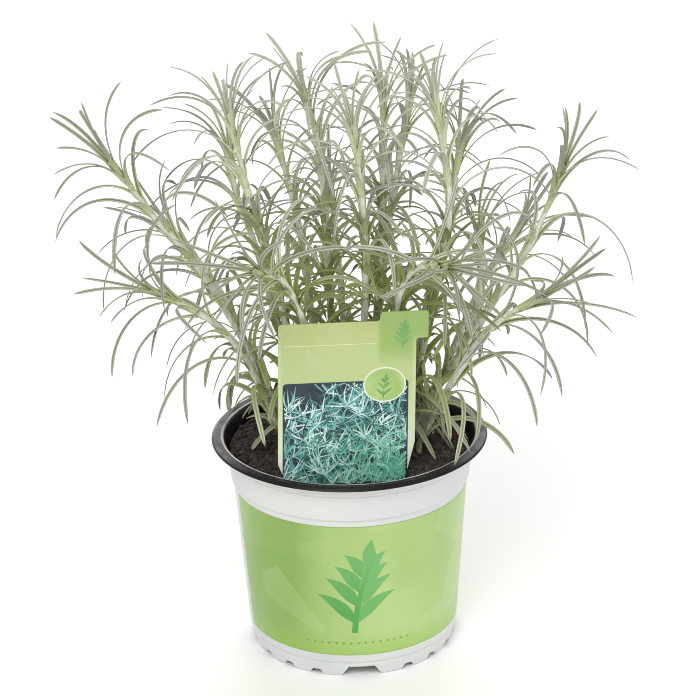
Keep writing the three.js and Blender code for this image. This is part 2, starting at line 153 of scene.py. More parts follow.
# Where each stem stands in the soil, and three points that it grows through
STEMS = [
    ((-25, 3), [(-57, 4, 163), (-79, 0, 196), (-97, -8, 225)]),
    ((-27, -10), [(-43, -14, 137), (-58, -24, 160), (-80, -36, 178)]),
    ((-14, -9), [(-28, -12, 163), (-39, -8, 207), (-47, -4, 243)]),
    ((-6, 6), [(-8, 12, 192), (-11, 12, 226), (-15, 8, 247)]),
    ((9, 12), [(16, 20, 184), (17, 22, 218), (18, 22, 242)]),
    ((3, -16), [(8, -20, 166), (8, -24, 205), (4, -26, 244)]),
    ((22, -10), [(37, -14, 163), (44, -12, 204), (39, -6, 248)]),
    ((28, 5), [(53, 3, 138), (77, 0, 178), (92, -6, 218)]),
    ((-21, 15), [(-36, 30, 161), (-46, 40, 190), (-50, 48, 212)]),
    ((24, 18), [(39, 36, 158), (47, 50, 185), (52, 60, 207)]),
    ((-12, 26), [(-18, 45, 160), (-24, 57, 190), (-30, 67, 213)]),
    ((10, 27), [(18, 46, 165), (24, 60, 196), (30, 70, 222)]),
    ((-1, 34), [(-2, 54, 140), (-4, 64, 165), (-6, 70, 187)]),
    ((-10, -22), [(-16, -27, 150), (-25, -44, 183), (-37, -71, 199)]),
    ((14, -24), [(19, -19, 150), (27, -35, 183), (41, -70, 199)]),
    ((30, -12), [(48, -22, 135), (62, -36, 160), (80, -48, 176)]),
    ((-30, 10), [(-50, 34, 138), (-64, 48, 158), (-78, 58, 172)]),
    ((33, 12), [(54, 34, 138), (66, 48, 154), (77, 58, 166)]),
]
# A side shoot's three points, by the number of its stem in the list
SIDE_SHOOTS = {7: [(51, 3, 134), (58, 8, 160), (57, 10, 188)]}

# Old leaves that hang over the soil beside the tag: a stem, the length up it where the leaf starts, its tip,
# how high it arches, and its width as a share of an old leaf's
HANGING = [
    (1, 11, (-42.6, -11.8, 94.0), 1.5, 1.25),
    (1, 13, (-44.7, 0.0, 103.5), 2.5, 0.95),
    (2, 22, (-33.0, -9.0, 98.6), 2.0, 1.0),
    (1, 20, (-44.5, 8.0, 102.8), 4.0, 1.0),
    (1, 16, (-38.0, 6.0, 99.0), 3.0, 0.9),
    (16, 14, (-47.0, 12.0, 98.0), 4.0, 1.0),
    (1, 24, (-54.1, -6.0, 103.5), 8.0, 0.6),
    (6, 28, (45.2, -18.8, 94.0), 3.0, 1.5),
    (6, 23, (44.2, -17.0, 94.0), 1.0, 0.9),
    (6, 14, (36.7, -27.6, 94.2), 2.0, 1.15),
    (6, 36, (33.9, -14.0, 98.7), 3.0, 1.0),
    (6, 32, (31.5, -12.0, 101.2), 2.0, 1.0),
    (6, 40, (36.4, -15.0, 99.6), 4.0, 1.1),
    (6, 26, (51.4, -33.3, 99.8), 7.0, 0.95),
    (7, 14, (42.8, 6.0, 98.1), 4.0, 0.9),
    (15, 22, (41.0, -18.0, 99.0), 3.0, 0.8),
    (7, 20, (34.0, -8.0, 104.0), 3.0, 1.0),
    (6, 20, (29.5, -13.0, 98.0), 2.0, 1.0),
]

rng = np.random.default_rng(20)


# Camera, light and floor

CAMERA_DISTANCE = 1300.0
CAMERA_PITCH = math.radians(22.44)
CAMERA_ROLL = math.radians(1.32)
CAMERA_AIM = 135.7
FOCAL_PIXELS = 3022.2
FRAME_PIXELS = 696
SHIFT_PIXELS = 0.6
SENSOR = 36.0

# Each light's name, its place and size in metres, and its power in watts
LIGHTS = [
    ("key", (-0.5, -1.5, 1.6), (1.0, 1.0), 21),
    ("fill", (1.5, -1.0, 1.0), (1.4, 1.4), 8),
    ("back", (0.1, 1.4, 1.6), (1.2, 0.6), 16),
]
LIGHT_AIM = Vector((0, 0, 0.13))
SKY_STRENGTH = 0.62
PIXEL_FILTER = 1.0
FLOOR_HALF_SIDE = 6
FLOOR_DROP = 0.00005


def add_object(name, data):
    made = bpy.data.objects.new(name, data)
    scene.collection.objects.link(made)
    return made


def make_camera():
    """The photograph's view, which looks down at the pot and is rolled a little."""
    cos_pitch, sin_pitch = math.cos(CAMERA_PITCH), math.sin(CAMERA_PITCH)
    forward = Vector((0, cos_pitch, -sin_pitch))
    up = Vector((0, sin_pitch, cos_pitch))
    right = Vector((1, 0, 0))
    cos_roll, sin_roll = math.cos(CAMERA_ROLL), math.sin(CAMERA_ROLL)
    across = cos_roll * right - sin_roll * up
    upward = sin_roll * right + cos_roll * up
    place = Vector((0, -CAMERA_DISTANCE * cos_pitch, CAMERA_AIM + CAMERA_DISTANCE * sin_pitch)) * MM
    camera = add_object("camera", bpy.data.cameras.new("camera"))
    turn = Matrix((across, upward, -forward)).transposed()
    camera.matrix_world = Matrix.Translation(place) @ turn.to_4x4()
    camera.data.sensor_width = SENSOR
    camera.data.lens = FOCAL_PIXELS / FRAME_PIXELS * SENSOR
    camera.data.shift_x = SHIFT_PIXELS / FRAME_PIXELS
    scene.camera = camera


def make_light(name, place, size, power):
    lamp = bpy.data.lights.new(name, "AREA")
    lamp.shape = "RECTANGLE"
    lamp.size, lamp.size_y = size
    lamp.energy = power
    light = add_object(name, lamp)
    light.location = place
    light.rotation_euler = (LIGHT_AIM - Vector(place)).to_track_quat("-Z", "Y").to_euler()


def make_studio():
    world = bpy.data.worlds.new("studio")
    world.use_nodes = True
    background = world.node_tree.nodes["Background"]
    background.inputs["Color"].default_value = (1, 1, 1, 1)
    background.inputs["Strength"].default_value = SKY_STRENGTH
    scene.world = world
    scene.view_settings.view_transform = "Standard"
    scene.cycles.filter_width = PIXEL_FILTER
    for light in LIGHTS:
        make_light(*light)
    mesh = bpy.data.meshes.new("floor")
    corners = [(x * FLOOR_HALF_SIDE, y * FLOOR_HALF_SIDE, 0) for x, y in ((-1, -1), (1, -1), (1, 1), (-1, 1))]
    mesh.from_pydata(corners, [], [(0, 1, 2, 3)])
    floor = add_object("floor", mesh)
    floor.location.z = -FLOOR_DROP
    surface = Surface("pale_floor", Roughness=0.7)
    surface.connect("Base Color", surface.blend(surface.noise(3, 2), "f7f7f5", "fbfbfa"))
    mesh.materials.append(surface.material)


# Materials


def srgb(code):
    """A linear colour from its sRGB hex code."""
    channels = [int(code[i : i + 2], 16) / 255 for i in (0, 2, 4)]
    return tuple(c / 12.92 if c <= 0.04045 else ((c + 0.055) / 1.055) ** 2.4 for c in channels) + (1.0,)


class Surface:
    """A Principled material with short ways to add the nodes that vary it."""

    def __init__(self, name, **settings):
        self.material = bpy.data.materials.new(name)
        self.material.use_nodes = True
        self.tree = self.material.node_tree
        self.shader = self.tree.nodes["Principled BSDF"]
        for socket, value in settings.items():
            self.shader.inputs[socket.replace("_", " ")].default_value = value
        self.place = self.node("ShaderNodeTexCoord").outputs["Object"]

    def node(self, kind, inputs=(), **settings):
        made = self.tree.nodes.new(kind)
        for key, value in settings.items():
            setattr(made, key, value)
        for key, value in dict(inputs).items():
            if isinstance(value, bpy.types.NodeSocket):
                self.tree.links.new(value, made.inputs[key])
            else:
                made.inputs[key].default_value = value
        return made

    def connect(self, socket, value):
        self.tree.links.new(value, self.shader.inputs[socket])

    def attribute(self, name):
        return self.node("ShaderNodeAttribute", attribute_name=name).outputs["Fac"]

    def axes(self):
        outputs = self.node("ShaderNodeSeparateXYZ", {0: self.place}).outputs
        return outputs["X"], outputs["Y"], outputs["Z"]

    def radius_squared(self):
        """The squared distance from the pot's axis."""
        x, y, _ = self.axes()
        return self.math("ADD", self.times(x, x), self.times(y, y))

    def math(self, operation, *values):
        return self.node("ShaderNodeMath", enumerate(values), operation=operation).outputs[0]

    def times(self, first, *others):
        for other in others:
            first = self.math("MULTIPLY", first, other)
        return first

    def span(self, value, low, high, start=0.0, end=1.0):
        """A value's place between low and high, eased and held at its ends."""
        inputs = {"Value": value, "From Min": low, "From Max": high, "To Min": start, "To Max": end}
        return self.node("ShaderNodeMapRange", inputs, interpolation_type="SMOOTHSTEP").outputs["Result"]

    def noise(self, scale, detail=3.0, stretch=None, roughness=0.5):
        place = self.place
        if stretch:
            place = self.node("ShaderNodeMapping", {"Vector": place, "Scale": stretch}).outputs["Vector"]
        inputs = {"Vector": place, "Scale": scale, "Detail": detail, "Roughness": roughness}
        return self.node("ShaderNodeTexNoise", inputs).outputs["Fac"]

    def facets(self, scale, randomness):
        """One random value for each cell of a faceted pattern."""
        inputs = {"Vector": self.place, "Scale": scale, "Randomness": randomness}
        cells = self.node("ShaderNodeTexVoronoi", inputs, feature="F1").outputs["Color"]
        return self.node("ShaderNodeSeparateColor", {0: cells}).outputs[0]

    def mix(self, share, a, b):
        return self.node("ShaderNodeMix", {0: share, 6: a, 7: b}, data_type="RGBA").outputs[2]

    def blend(self, share, code_a, code_b):
        return self.mix(share, srgb(code_a), srgb(code_b))

    def tint(self, colour, code, *shares):
        """A colour moved towards another one by the product of the shares."""
        return self.mix(self.times(*shares), colour, srgb(code))

    def paint(self, colour, grain, low, high):
        """The base colour, made darker or lighter as a grain goes from 0 to 1."""
        grey = self.node("ShaderNodeMapRange", {"Value": grain, "To Min": low, "To Max": high})
        inputs = {0: colour, "Scale": grey.outputs["Result"]}
        self.connect("Base Color", self.node("ShaderNodeVectorMath", inputs, operation="SCALE").outputs[0])

    def bump(self, height, strength, depth):
        inputs = {"Height": height, "Strength": strength, "Distance": depth * MM}
        self.connect("Normal", self.node("ShaderNodeBump", inputs).outputs["Normal"])


def felted(name, roughness, sheen, sheen_tint, specular):
    surface = Surface(name, Roughness=roughness, Sheen_Weight=sheen, Sheen_Roughness=0.5)
    surface.shader.inputs["Sheen Tint"].default_value = sheen_tint
    surface.shader.inputs["Specular IOR Level"].default_value = specular
    return surface


LEAF_KEYS = ("along", "across", "upper", "tone", "youth", "low", "inner")


def foliage_surface():
    """Felted leaves: olive above with a furrow, grey below and along the edges, pale at the stem."""
    leaf = felted("curry_leaf", 0.75, 0.12, (0.94, 1.0, 0.88, 1), 0.25)
    along, across, upper, tone, youth, low, inner = (leaf.attribute(name) for name in LEAF_KEYS)
    edge = leaf.math("ABSOLUTE", across)
    under = leaf.math("SUBTRACT", 1.0, upper)
    outer = leaf.math("SUBTRACT", 1.0, inner)
    z = leaf.axes()[2]
    squares = leaf.radius_squared()

    def between(radius_a, radius_b):
        return leaf.span(squares, radius_a**2, radius_b**2)

    colour = leaf.mix(upper, leaf.blend(tone, "807e78", "bab8b3"), leaf.blend(tone, "8a8e76", "cfd2c4"))
    # Each tint's colour, its strength, and the shares that say where it lies; radii and heights are in metres
    tints = [
        # Pale rolled margins, a pale midrib below, and a dark outline that is painted shade along each edge
        ("dcdfd2", 0.8, leaf.span(edge, 0.45, 0.75), upper),
        ("d2d2ca", 0.6, leaf.span(edge, 0.32, 0.1), under),
        ("4d5040", 0.9, leaf.span(edge, 0.82, 0.97)),
        # Young leaves are greener, old ones olive, and each leaf's foot is pale
        ("b4c27f", 0.55, youth),
        ("8d9365", 0.4, leaf.span(low, 0.0, 0.5)),
        ("c0ca90", 0.7, leaf.span(along, 0.3, 0.04)),
        # Away from its foot a leaf turns a lilac grey, most of all an outer one
        ("928f90", 0.5, leaf.span(along, 0.15, 0.55), outer, leaf.span(low, 0.0, 0.5, 1.0, 0.3)),
        ("66743a", 0.85, leaf.span(edge, 0.4, 0.1), upper),
        # The oldest leaves are drab, and the short ones inside the bush are painted darker green as shade
        ("8b8a78", 0.5, leaf.span(low, 0.6, 0.95)),
        ("5f6a38", 0.75, inner),
        # Painted shade darkens the bush's heart, painted bounce light greens it; its sides are greyer
        ("606e2c", 0.42, between(0.066, 0.026), leaf.span(z, 0.21, 0.15), leaf.span(z, 0.108, 0.128)),
        ("97a355", 0.5, between(0.080, 0.035), leaf.span(z, 0.215, 0.175), leaf.span(z, 0.1, 0.13, 0.3, 1.0)),
        ("83847e", 0.25, between(0.065, 0.100)),
        # Painted light makes the bush paler at its top
        ("d2d3c6", 0.3, leaf.span(z, 0.185, 0.240), between(0.080, 0.050)),
    ]
    for code, *shares in tints:
        colour = leaf.tint(colour, code, *shares)
    leaf.paint(colour, leaf.noise(1100, 3, roughness=0.6), 0.7, 1.34)
    leaf.bump(leaf.noise(2600, 2), 0.35, 0.12)
    return leaf.material


def stem_surface():
    stem = felted("woolly_stem", 0.85, 0.2, (0.95, 1.0, 0.9, 1), 0.2)
    wool = stem.noise(900, 4, stretch=(1, 1, 0.25), roughness=0.65)
    colour = stem.blend(stem.span(stem.attribute("along"), 0.08, 0.5), "979d7e", "d2d6c2")
    colour = stem.tint(colour, "e8eae0", 0.65, stem.span(wool, 0.4, 0.65))
    stem.paint(colour, stem.noise(140, 2), 0.8, 1.12)
    stem.bump(wool, 0.6, 0.25)
    return stem.material


def pot_white_surface():
    """Pale sheet with a faint haze and a little dust."""
    sheet = Surface("pot_outside", Roughness=0.42, Specular_IOR_Level=0.45)
    haze = sheet.noise(22, 3)
    dust = sheet.span(sheet.noise(160, 4, roughness=0.7), 0.62, 0.8)
    colour = sheet.blend(sheet.span(haze, 0.3, 0.7), "cdd0cf", "d7d8d5")
    sheet.connect("Base Color", sheet.tint(colour, "bdbbb2", 0.25, dust))
    sheet.connect("Roughness", sheet.span(haze, 0.2, 0.8, 0.36, 0.5))
    sheet.bump(sheet.noise(700, 2), 0.12, 0.05)
    return sheet.material


def pot_black_surface():
    """Dark sheet: black inside and in front, with a painted grey reflection on the rim's sides and a painted
    highlight on its inner edge.
    """
    sheet = Surface("pot_inside", Roughness=0.3, Specular_IOR_Level=0.3)
    x, _, z = sheet.axes()
    radius = sheet.math("SQRT", sheet.radius_squared())
    smear = sheet.noise(60, 4, stretch=(1, 1, 0.3), roughness=0.6)
    streak = sheet.span(sheet.noise(110, 3, stretch=(1, 1, 0.2)), 0.3, 0.65, 0.45, 1.0)
    patchy = sheet.span(sheet.noise(30, 3), 0.3, 0.6, 0.35, 1.0)
    rim_top = sheet.times(sheet.span(radius, 0.0548, 0.0560), sheet.span(z, 0.0955, 0.0963))
    painted_reflection_sides = sheet.span(sheet.math("ABSOLUTE", x), 0.042, 0.0585)
    colour = sheet.blend(sheet.span(smear, 0.35, 0.75), "141011", "2b2628")
    tints = [
        # Painted reflection: grey on the rim's top at its left and right sides
        ("8b868e", rim_top, painted_reflection_sides, streak),
        # Painted highlight: a pale line along the rim's inner edge
        ("e4e2e6", sheet.span(radius, 0.0547, 0.0550), sheet.span(radius, 0.0560, 0.0556), patchy),
        # Painted shade: the rim's outer face darker
        ("0d0a0b", sheet.span(z, 0.0966, 0.0958), sheet.span(radius, 0.0575, 0.0585)),
        # Painted shade: the wall inside, below the lip, darker
        ("181415", sheet.span(z, 0.0958, 0.0950), sheet.span(radius, 0.0550, 0.0543)),
    ]
    for code, *shares in tints:
        colour = sheet.tint(colour, code, *shares)
    sheet.connect("Base Color", colour)
    sheet.connect("Roughness", sheet.span(smear, 0.25, 0.75, 0.22, 0.4))
    sheet.bump(sheet.noise(500, 3), 0.15, 0.06)
    return sheet.material


def earth_surface(name, dark, light, roughness=0.95):
    """Soil and what lies in it, in two tones with a rough grain."""
    earth = Surface(name, Roughness=roughness, Specular_IOR_Level=0.25)
    colour = earth.blend(earth.span(earth.noise(420, 5, roughness=0.7), 0.35, 0.7), dark, light)
    earth.paint(colour, earth.noise(90, 2), 0.7, 1.25)
    earth.bump(earth.noise(1200, 4, roughness=0.7), 0.8, 0.35)
    return earth.material


def print_surface(name, code_a, code_b, scale=40):
    """Printed film: two tones of one ink, with a little grain."""
    film = Surface(name, Roughness=0.38, Specular_IOR_Level=0.45)
    colour = film.blend(film.span(film.noise(scale, 2), 0.3, 0.7), code_a, code_b)
    film.paint(colour, film.noise(1500, 1), 0.97, 1.03)
    film.bump(film.noise(900, 1), 0.05, 0.03)
    return film.material


# Meshes


def make_piece(name, points, faces, materials, slot, replaced=(), values=None, sheets=None, smooth=True):
    """A mesh object from points in millimetres, on the one body. Sheets gives each face's material."""
    mesh = bpy.data.meshes.new(name)
    mesh.from_pydata((np.asarray(points, float) * MM).tolist(), [], faces)
    for material in materials:
        mesh.materials.append(material)
    if sheets is not None:
        mesh.polygons.foreach_set("material_index", np.asarray(sheets, np.int32))
    for key, numbers in (values or {}).items():
        layer = mesh.attributes.new(key, "FLOAT", "POINT")
        layer.data.foreach_set("value", np.asarray(numbers, np.float32))
    mesh.polygons.foreach_set("use_smooth", np.full(len(faces), smooth))
    mesh.update()
    piece = add_object(name, mesh)
    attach(piece, "root")
    if replaced:
        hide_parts(*replaced)
    return piece


def sharpen(piece, degrees):
    """Keeps the edges sharp that turn by more than an angle."""
    piece.data.set_sharp_from_angle(angle=math.radians(degrees))


class Build:
    """Points, faces and per-point values gathered from many parts of one piece."""

    def __init__(self, keys=()):
        self.points, self.faces, self.count = [], [], 0
        self.values = {key: [] for key in keys}

    def add(self, points, faces, **values):
        self.points.append(points)
        self.faces.extend(tuple(i + self.count for i in face) for face in faces)
        for key, numbers in self.values.items():
            numbers.append(np.broadcast_to(values[key], len(points)))
        self.count += len(points)

    def finish(self, name, materials, slot, **settings):
        values = {key: np.concatenate(numbers) for key, numbers in self.values.items()}
        points = np.concatenate(self.points)
        return make_piece(name, points, self.faces, materials, slot, values=values, **settings)


def ring_faces(low, high, sides):
    """Quads between two closed rings of points, which start at the indices low and high."""
    return [(low + j, high + j, high + (j + 1) % sides, low + (j + 1) % sides) for j in range(sides)]


def tube_faces(rings, sides):
    """Faces of a closed tube, whose points are its first end, its rings and its last end."""
    last, top = 1 + rings * sides, 1 + (rings - 1) * sides
    faces = [(1 + j, 1 + (j + 1) % sides, 0) for j in range(sides)]
    for i in range(rings - 1):
        low, high = 1 + i * sides, 1 + (i + 1) * sides
        for j in range(sides):
            k = (j + 1) % sides
            faces.append((high + j, high + k, low + k, low + j))
    faces += [(last, top + (j + 1) % sides, top + j) for j in range(sides)]
    return faces


def unit(vectors):
    return vectors / np.linalg.norm(vectors, axis=-1, keepdims=True)


def circle(radius, turn):
    """A flat point at a turn from the front, counted towards +X."""
    return radius * math.sin(turn), -radius * math.cos(turn)


# Pot

POT_COLUMNS = 240
POT_EDGE = 38
# Each notch's place in a quarter turn and its lower and upper half widths, all in degrees, and its height
NOTCHES = [
    (place, math.degrees(width / 2 / FOOT_RADIUS), math.degrees(top_width / 2 / FOOT_RADIUS), height)
    for (width, top_width, height), places in ((WIDE_NOTCH, (0.0,)), (SMALL_NOTCH, SMALL_NOTCH_ANGLES))
    for place in places
]


def notch_height(angle):
    """The height of the foot's lower edge at an angle in degrees from the front."""
    for place, outer, inner, height in NOTCHES:
        away = abs((angle - FOOT_TURN - place + 45) % 90 - 45)
        if away < outer:
            return height * min((outer - away) / (outer - inner), 1.0)
    return 0.0


def foot_angles():
    """Angles round the pot in degrees, with more of them at the notches' sides."""
    angles = set(np.linspace(0, 360, POT_COLUMNS, endpoint=False).round(4))
    for quarter in range(4):
        for place, outer, inner, _ in NOTCHES:
            centre = FOOT_TURN + 90 * quarter + place
            for away in (outer + 0.02, outer, (2 * outer + inner) / 3, (outer + 2 * inner) / 3, inner):
                angles.update(round((centre + side * away) % 360, 4) for side in (1, -1))
    return sorted(angles)


def bend(start, corner, end, steps):
    """Points of a smooth bend from start to end, drawn towards the corner."""
    start, corner, end = (np.array(p, float) for p in (start, corner, end))
    shares = (i / steps for i in range(steps + 1))
    return [tuple((1 - t) ** 2 * start + 2 * t * (1 - t) * corner + t * t * end) for t in shares]


def rounded(profile, radius):
    """A profile with each inner corner replaced by a small bend."""
    points = [profile[0]]
    for before, corner, after in zip(profile, profile[1:], profile[2:]):
        before, corner, after = (np.array(p, float) for p in (before, corner, after))
        into, out = before - corner, after - corner
        reach = min(radius, 0.45 * np.linalg.norm(into), 0.45 * np.linalg.norm(out))
        points += bend(corner + reach * unit(into), corner, corner + reach * unit(out), 4)
    points.append(profile[-1])
    return points


# Profiles of the pot as (radius, height) points. A fine groove under each mould line makes it read.
WALL_OUTSIDE = rounded(
    [
        (BODY_RADIUS_LOW - 0.8, LINE_LOW),
        (BODY_RADIUS_LOW, BODY_LOW),
        (BODY_RADIUS_HIGH, BODY_TOP),
        (COLLAR_RADIUS_LOW, BODY_TOP + 1.4),
        (COLLAR_RADIUS_HIGH - 0.7, COLLAR_LINE - 0.7),
        (COLLAR_RADIUS_HIGH - 0.95, COLLAR_LINE - 0.45),
        (COLLAR_RADIUS_HIGH - 0.15, COLLAR_LINE),
        (COLLAR_RADIUS_HIGH, RIM_UNDERSIDE),
    ],
    0.12,
)
RIM = rounded(
    [
        (COLLAR_RADIUS_HIGH, RIM_UNDERSIDE),
        (RIM_RADIUS - 0.8, RIM_UNDERSIDE),
        (RIM_RADIUS - 0.1, BLACK_FROM),
        (RIM_RADIUS, RIM_UNDERSIDE + 1.2),
        (RIM_RADIUS - 1.4, POT_HEIGHT),
        (RIM_RADIUS - 3.6, POT_HEIGHT - 0.5),
        (RIM_RADIUS - 4.6, POT_HEIGHT - 0.1),
        (RIM_RADIUS - 5.6, POT_HEIGHT - 0.9),
        (COLLAR_RADIUS_HIGH - 0.7 - WALL, COLLAR_LINE - 0.5),
    ],
    0.9,
)
WALL_INSIDE = rounded(
    [
        RIM[-1],
        (COLLAR_RADIUS_LOW - WALL, BODY_TOP + 1.4),
        (BODY_RADIUS_HIGH - WALL, BODY_TOP),
        (BODY_RADIUS_LOW - WALL, BODY_LOW),
        (BODY_RADIUS_LOW - WALL - 1.2, FLOOR_TOP),
        (FLAT_FLOOR_RADIUS, FLOOR_TOP),
    ],
    1.0,
)


def foot_profile(low):
    """The foot from the floor's underside down to its lower edge and up to the low mould line."""

    def inside(z):
        return FOOT_RADIUS - FOOT_WIDTH - z / FLOOR_UNDERSIDE

    def outside(z):
        return FOOT_RADIUS + z * (BODY_RADIUS_LOW - 0.6 - FOOT_RADIUS) / LINE_LOW

    return [
        (FLAT_FLOOR_RADIUS, FLOOR_UNDERSIDE),
        (inside(FLOOR_UNDERSIDE) - 0.8, FLOOR_UNDERSIDE),
        (inside(FLOOR_UNDERSIDE) - 0.1, FLOOR_UNDERSIDE - 0.3),
        (inside(low + 0.3), low + 0.3),
        (inside(low) + 0.3, low),
        (outside(low) - 0.35, low),
        (outside(low + 0.35), low + 0.35),
        (outside(LINE_LOW - 0.4), LINE_LOW - 0.4),
    ]


def make_pot():
    points = []
    angles = foot_angles()
    for angle in angles:
        profile = [*foot_profile(notch_height(angle)), *WALL_OUTSIDE, *RIM[1:], *WALL_INSIDE[1:]]
        points += [(*circle(radius, math.radians(angle)), z) for radius, z in profile]
    length = len(profile)
    rim_start = length - len(RIM[1:]) - len(WALL_INSIDE[1:])
    split = next(i for i in range(rim_start, length) if profile[i][1] >= BLACK_FROM)
    faces = []
    sheets = []
    for j in range(len(angles)):
        k = (j + 1) % len(angles)
        for i in range(length - 1):
            faces.append((j * length + i, k * length + i, k * length + i + 1, j * length + i + 1))
            sheets.append(0 if i < split else 1)
    add_floor(points, faces, sheets, length)
    materials = [pot_white_surface(), pot_black_surface()]
    sharpen(make_piece("pot_shell", points, faces, materials, "pot", ["pot"], sheets=sheets), POT_EDGE)


def add_floor(points, faces, sheets, length):
    """Fills the pot's floor: a lower and an upper face round the drain holes, and the holes' walls."""
    lows = list(range(0, len(points), length))
    highs = [low + length - 1 for low in lows]
    flat = [Vector(points[low][:2]) for low in lows]
    loops = [list(range(len(lows)))]
    turns = [2 * math.pi * hole / DRAIN_HOLES for hole in range(DRAIN_HOLES)]
    centres = [Vector((math.cos(turn), math.sin(turn))) * DRAIN_CIRCLE for turn in turns]
    for centre in centres:
        start = len(flat)
        for i in range(DRAIN_SIDES):
            around = 2 * math.pi * i / DRAIN_SIDES
            flat.append(centre + Vector((math.cos(around), math.sin(around))) * DRAIN_RADIUS)
        loops.append(list(range(start, len(flat))))
    edges = [pair for loop in loops for pair in zip(loop, loop[1:] + loop[:1])]
    places, _, triangles, _, _, _ = delaunay_2d_cdt(flat, edges, [], 0, 1e-6)
    for place in places[len(lows) :]:
        lows.append(len(points))
        highs.append(len(points) + 1)
        points += [(place.x, place.y, FLOOR_UNDERSIDE), (place.x, place.y, FLOOR_TOP)]
    for triangle in triangles:
        middle = sum((places[i] for i in triangle), Vector((0, 0))) / 3
        in_hole = any((middle - centre).length < DRAIN_RADIUS for centre in centres)
        if in_hole or middle.length > FLAT_FLOOR_RADIUS:
            continue
        faces += [tuple(lows[i] for i in reversed(triangle)), tuple(highs[i] for i in triangle)]
        sheets += [0, 1]
    for loop in loops[1:]:
        for a, b in zip(loop, loop[1:] + loop[:1]):
            faces.append((lows[a], lows[b], highs[b], highs[a]))
            sheets.append(1)


# Printed shapes: thin closed strips that lie on a surface

PRINT_TOP = 0.13
PRINT_EDGE = 40
WIDEST_AT = 0.4
SPRIG_LIFT = 0.012
STALK_STEPS = 24
STALK_BOW = 0.04
LEAFLET_BOW = 0.1
# Where along the stalk the first pair stands and how far up the others follow, as shares of its length
FIRST_PAIR, PAIRS_REACH = 0.16, 0.66
# Shares of the sprig's leaf length: the stalk's half width at foot and tip, a leaf's width, and the top leaf
STALK_WIDTHS = (0.055, 0.03)
LEAFLET_WIDTH = 0.23
TOP_WIDTH, TOP_LENGTH = 0.22, 0.56


def strip(centre, half_widths, low, high, place, across=4):
    """A flat strip along a centre line, from one height above its surface to another.
    place(points, heights) puts flat points on the surface."""
    centre = np.asarray(centre, float)
    forward = unit(np.gradient(centre, axis=0))
    side = np.stack([forward[:, 1], -forward[:, 0]], axis=1)
    widths = np.asarray(half_widths, float)[:, None, None] * np.linspace(-1, 1, across + 1)[None, :, None]
    flat = (centre[:, None, :] + side[:, None, :] * widths).reshape(-1, 2)
    return sheet_solid(flat, len(centre), across + 1, low, high, place)


def sheet_solid(flat, rows, columns, low, high, place):
    """A closed thin solid from a grid of flat points."""
    top = place(flat, np.full(len(flat), high))
    bottom = place(flat, np.full(len(flat), low))
    count = rows * columns
    index = np.arange(count).reshape(rows, columns)
    quads = np.stack([index[:-1, :-1], index[:-1, 1:], index[1:, 1:], index[1:, :-1]], axis=-1).reshape(-1, 4)
    faces = [*quads.tolist(), *(quads[:, ::-1] + count).tolist()]
    border = [*index[0, :], *index[1:, -1], *index[-1, -2::-1], *index[-2:0:-1, 0]]
    for a, b in zip(border, [*border[1:], border[0]]):
        faces.append((int(b), int(a), int(a) + count, int(b) + count))
    return np.concatenate([top, bottom]), faces


def wall_radius(z):
    share = (z - BODY_LOW) / (BODY_TOP - BODY_LOW)
    return BODY_RADIUS_LOW + (BODY_RADIUS_HIGH - BODY_RADIUS_LOW) * share


def on_pot(flat, heights):
    """Puts (distance round from the front, height) points on the pot's wall."""
    turn = flat[:, 0] / PRINT_RADIUS
    radius = wall_radius(flat[:, 1]) + heights
    return np.stack([radius * np.sin(turn), -radius * np.cos(turn), flat[:, 1]], axis=1)


def on_tag(flat, heights):
    """Puts (x, height up the tag) points on the tag's front face."""
    across = flat[:, 0] * math.cos(TAG_ROLL) + flat[:, 1] * math.sin(TAG_ROLL)
    up = -flat[:, 0] * math.sin(TAG_ROLL) + flat[:, 1] * math.cos(TAG_ROLL)
    lift = TAG_THICKNESS / 2 + heights
    back = up * math.sin(TAG_LEAN) - lift * math.cos(TAG_LEAN)
    x = TAG_X + across * math.cos(TAG_TURN) - back * math.sin(TAG_TURN)
    y = TAG_Y + across * math.sin(TAG_TURN) + back * math.cos(TAG_TURN)
    z = TAG_Z + up * math.cos(TAG_LEAN) + lift * math.sin(TAG_LEAN)
    return np.stack([x, y, z], axis=1)


def arc_line(start, end, bow, steps=14):
    """A flat line from start to end, bowed to its left by a share of its length."""
    start, end = np.array(start, float), np.array(end, float)
    share = np.linspace(0, 1, steps + 1)[:, None]
    ahead = end - start
    left = np.array([-ahead[1], ahead[0]])
    return start + ahead * share + left * bow * 4 * share * (1 - share)


def leaf_widths(width, steps=14):
    """Half widths of a slender leaf that is widest a little below its middle."""
    share = np.linspace(0, 1, steps + 1)
    rising = np.sin(share / WIDEST_AT * math.pi / 2)
    falling = np.cos((share - WIDEST_AT) / (1 - WIDEST_AT) * math.pi / 2)
    return np.maximum(np.where(share < WIDEST_AT, rising, falling), 0.02) * width / 2


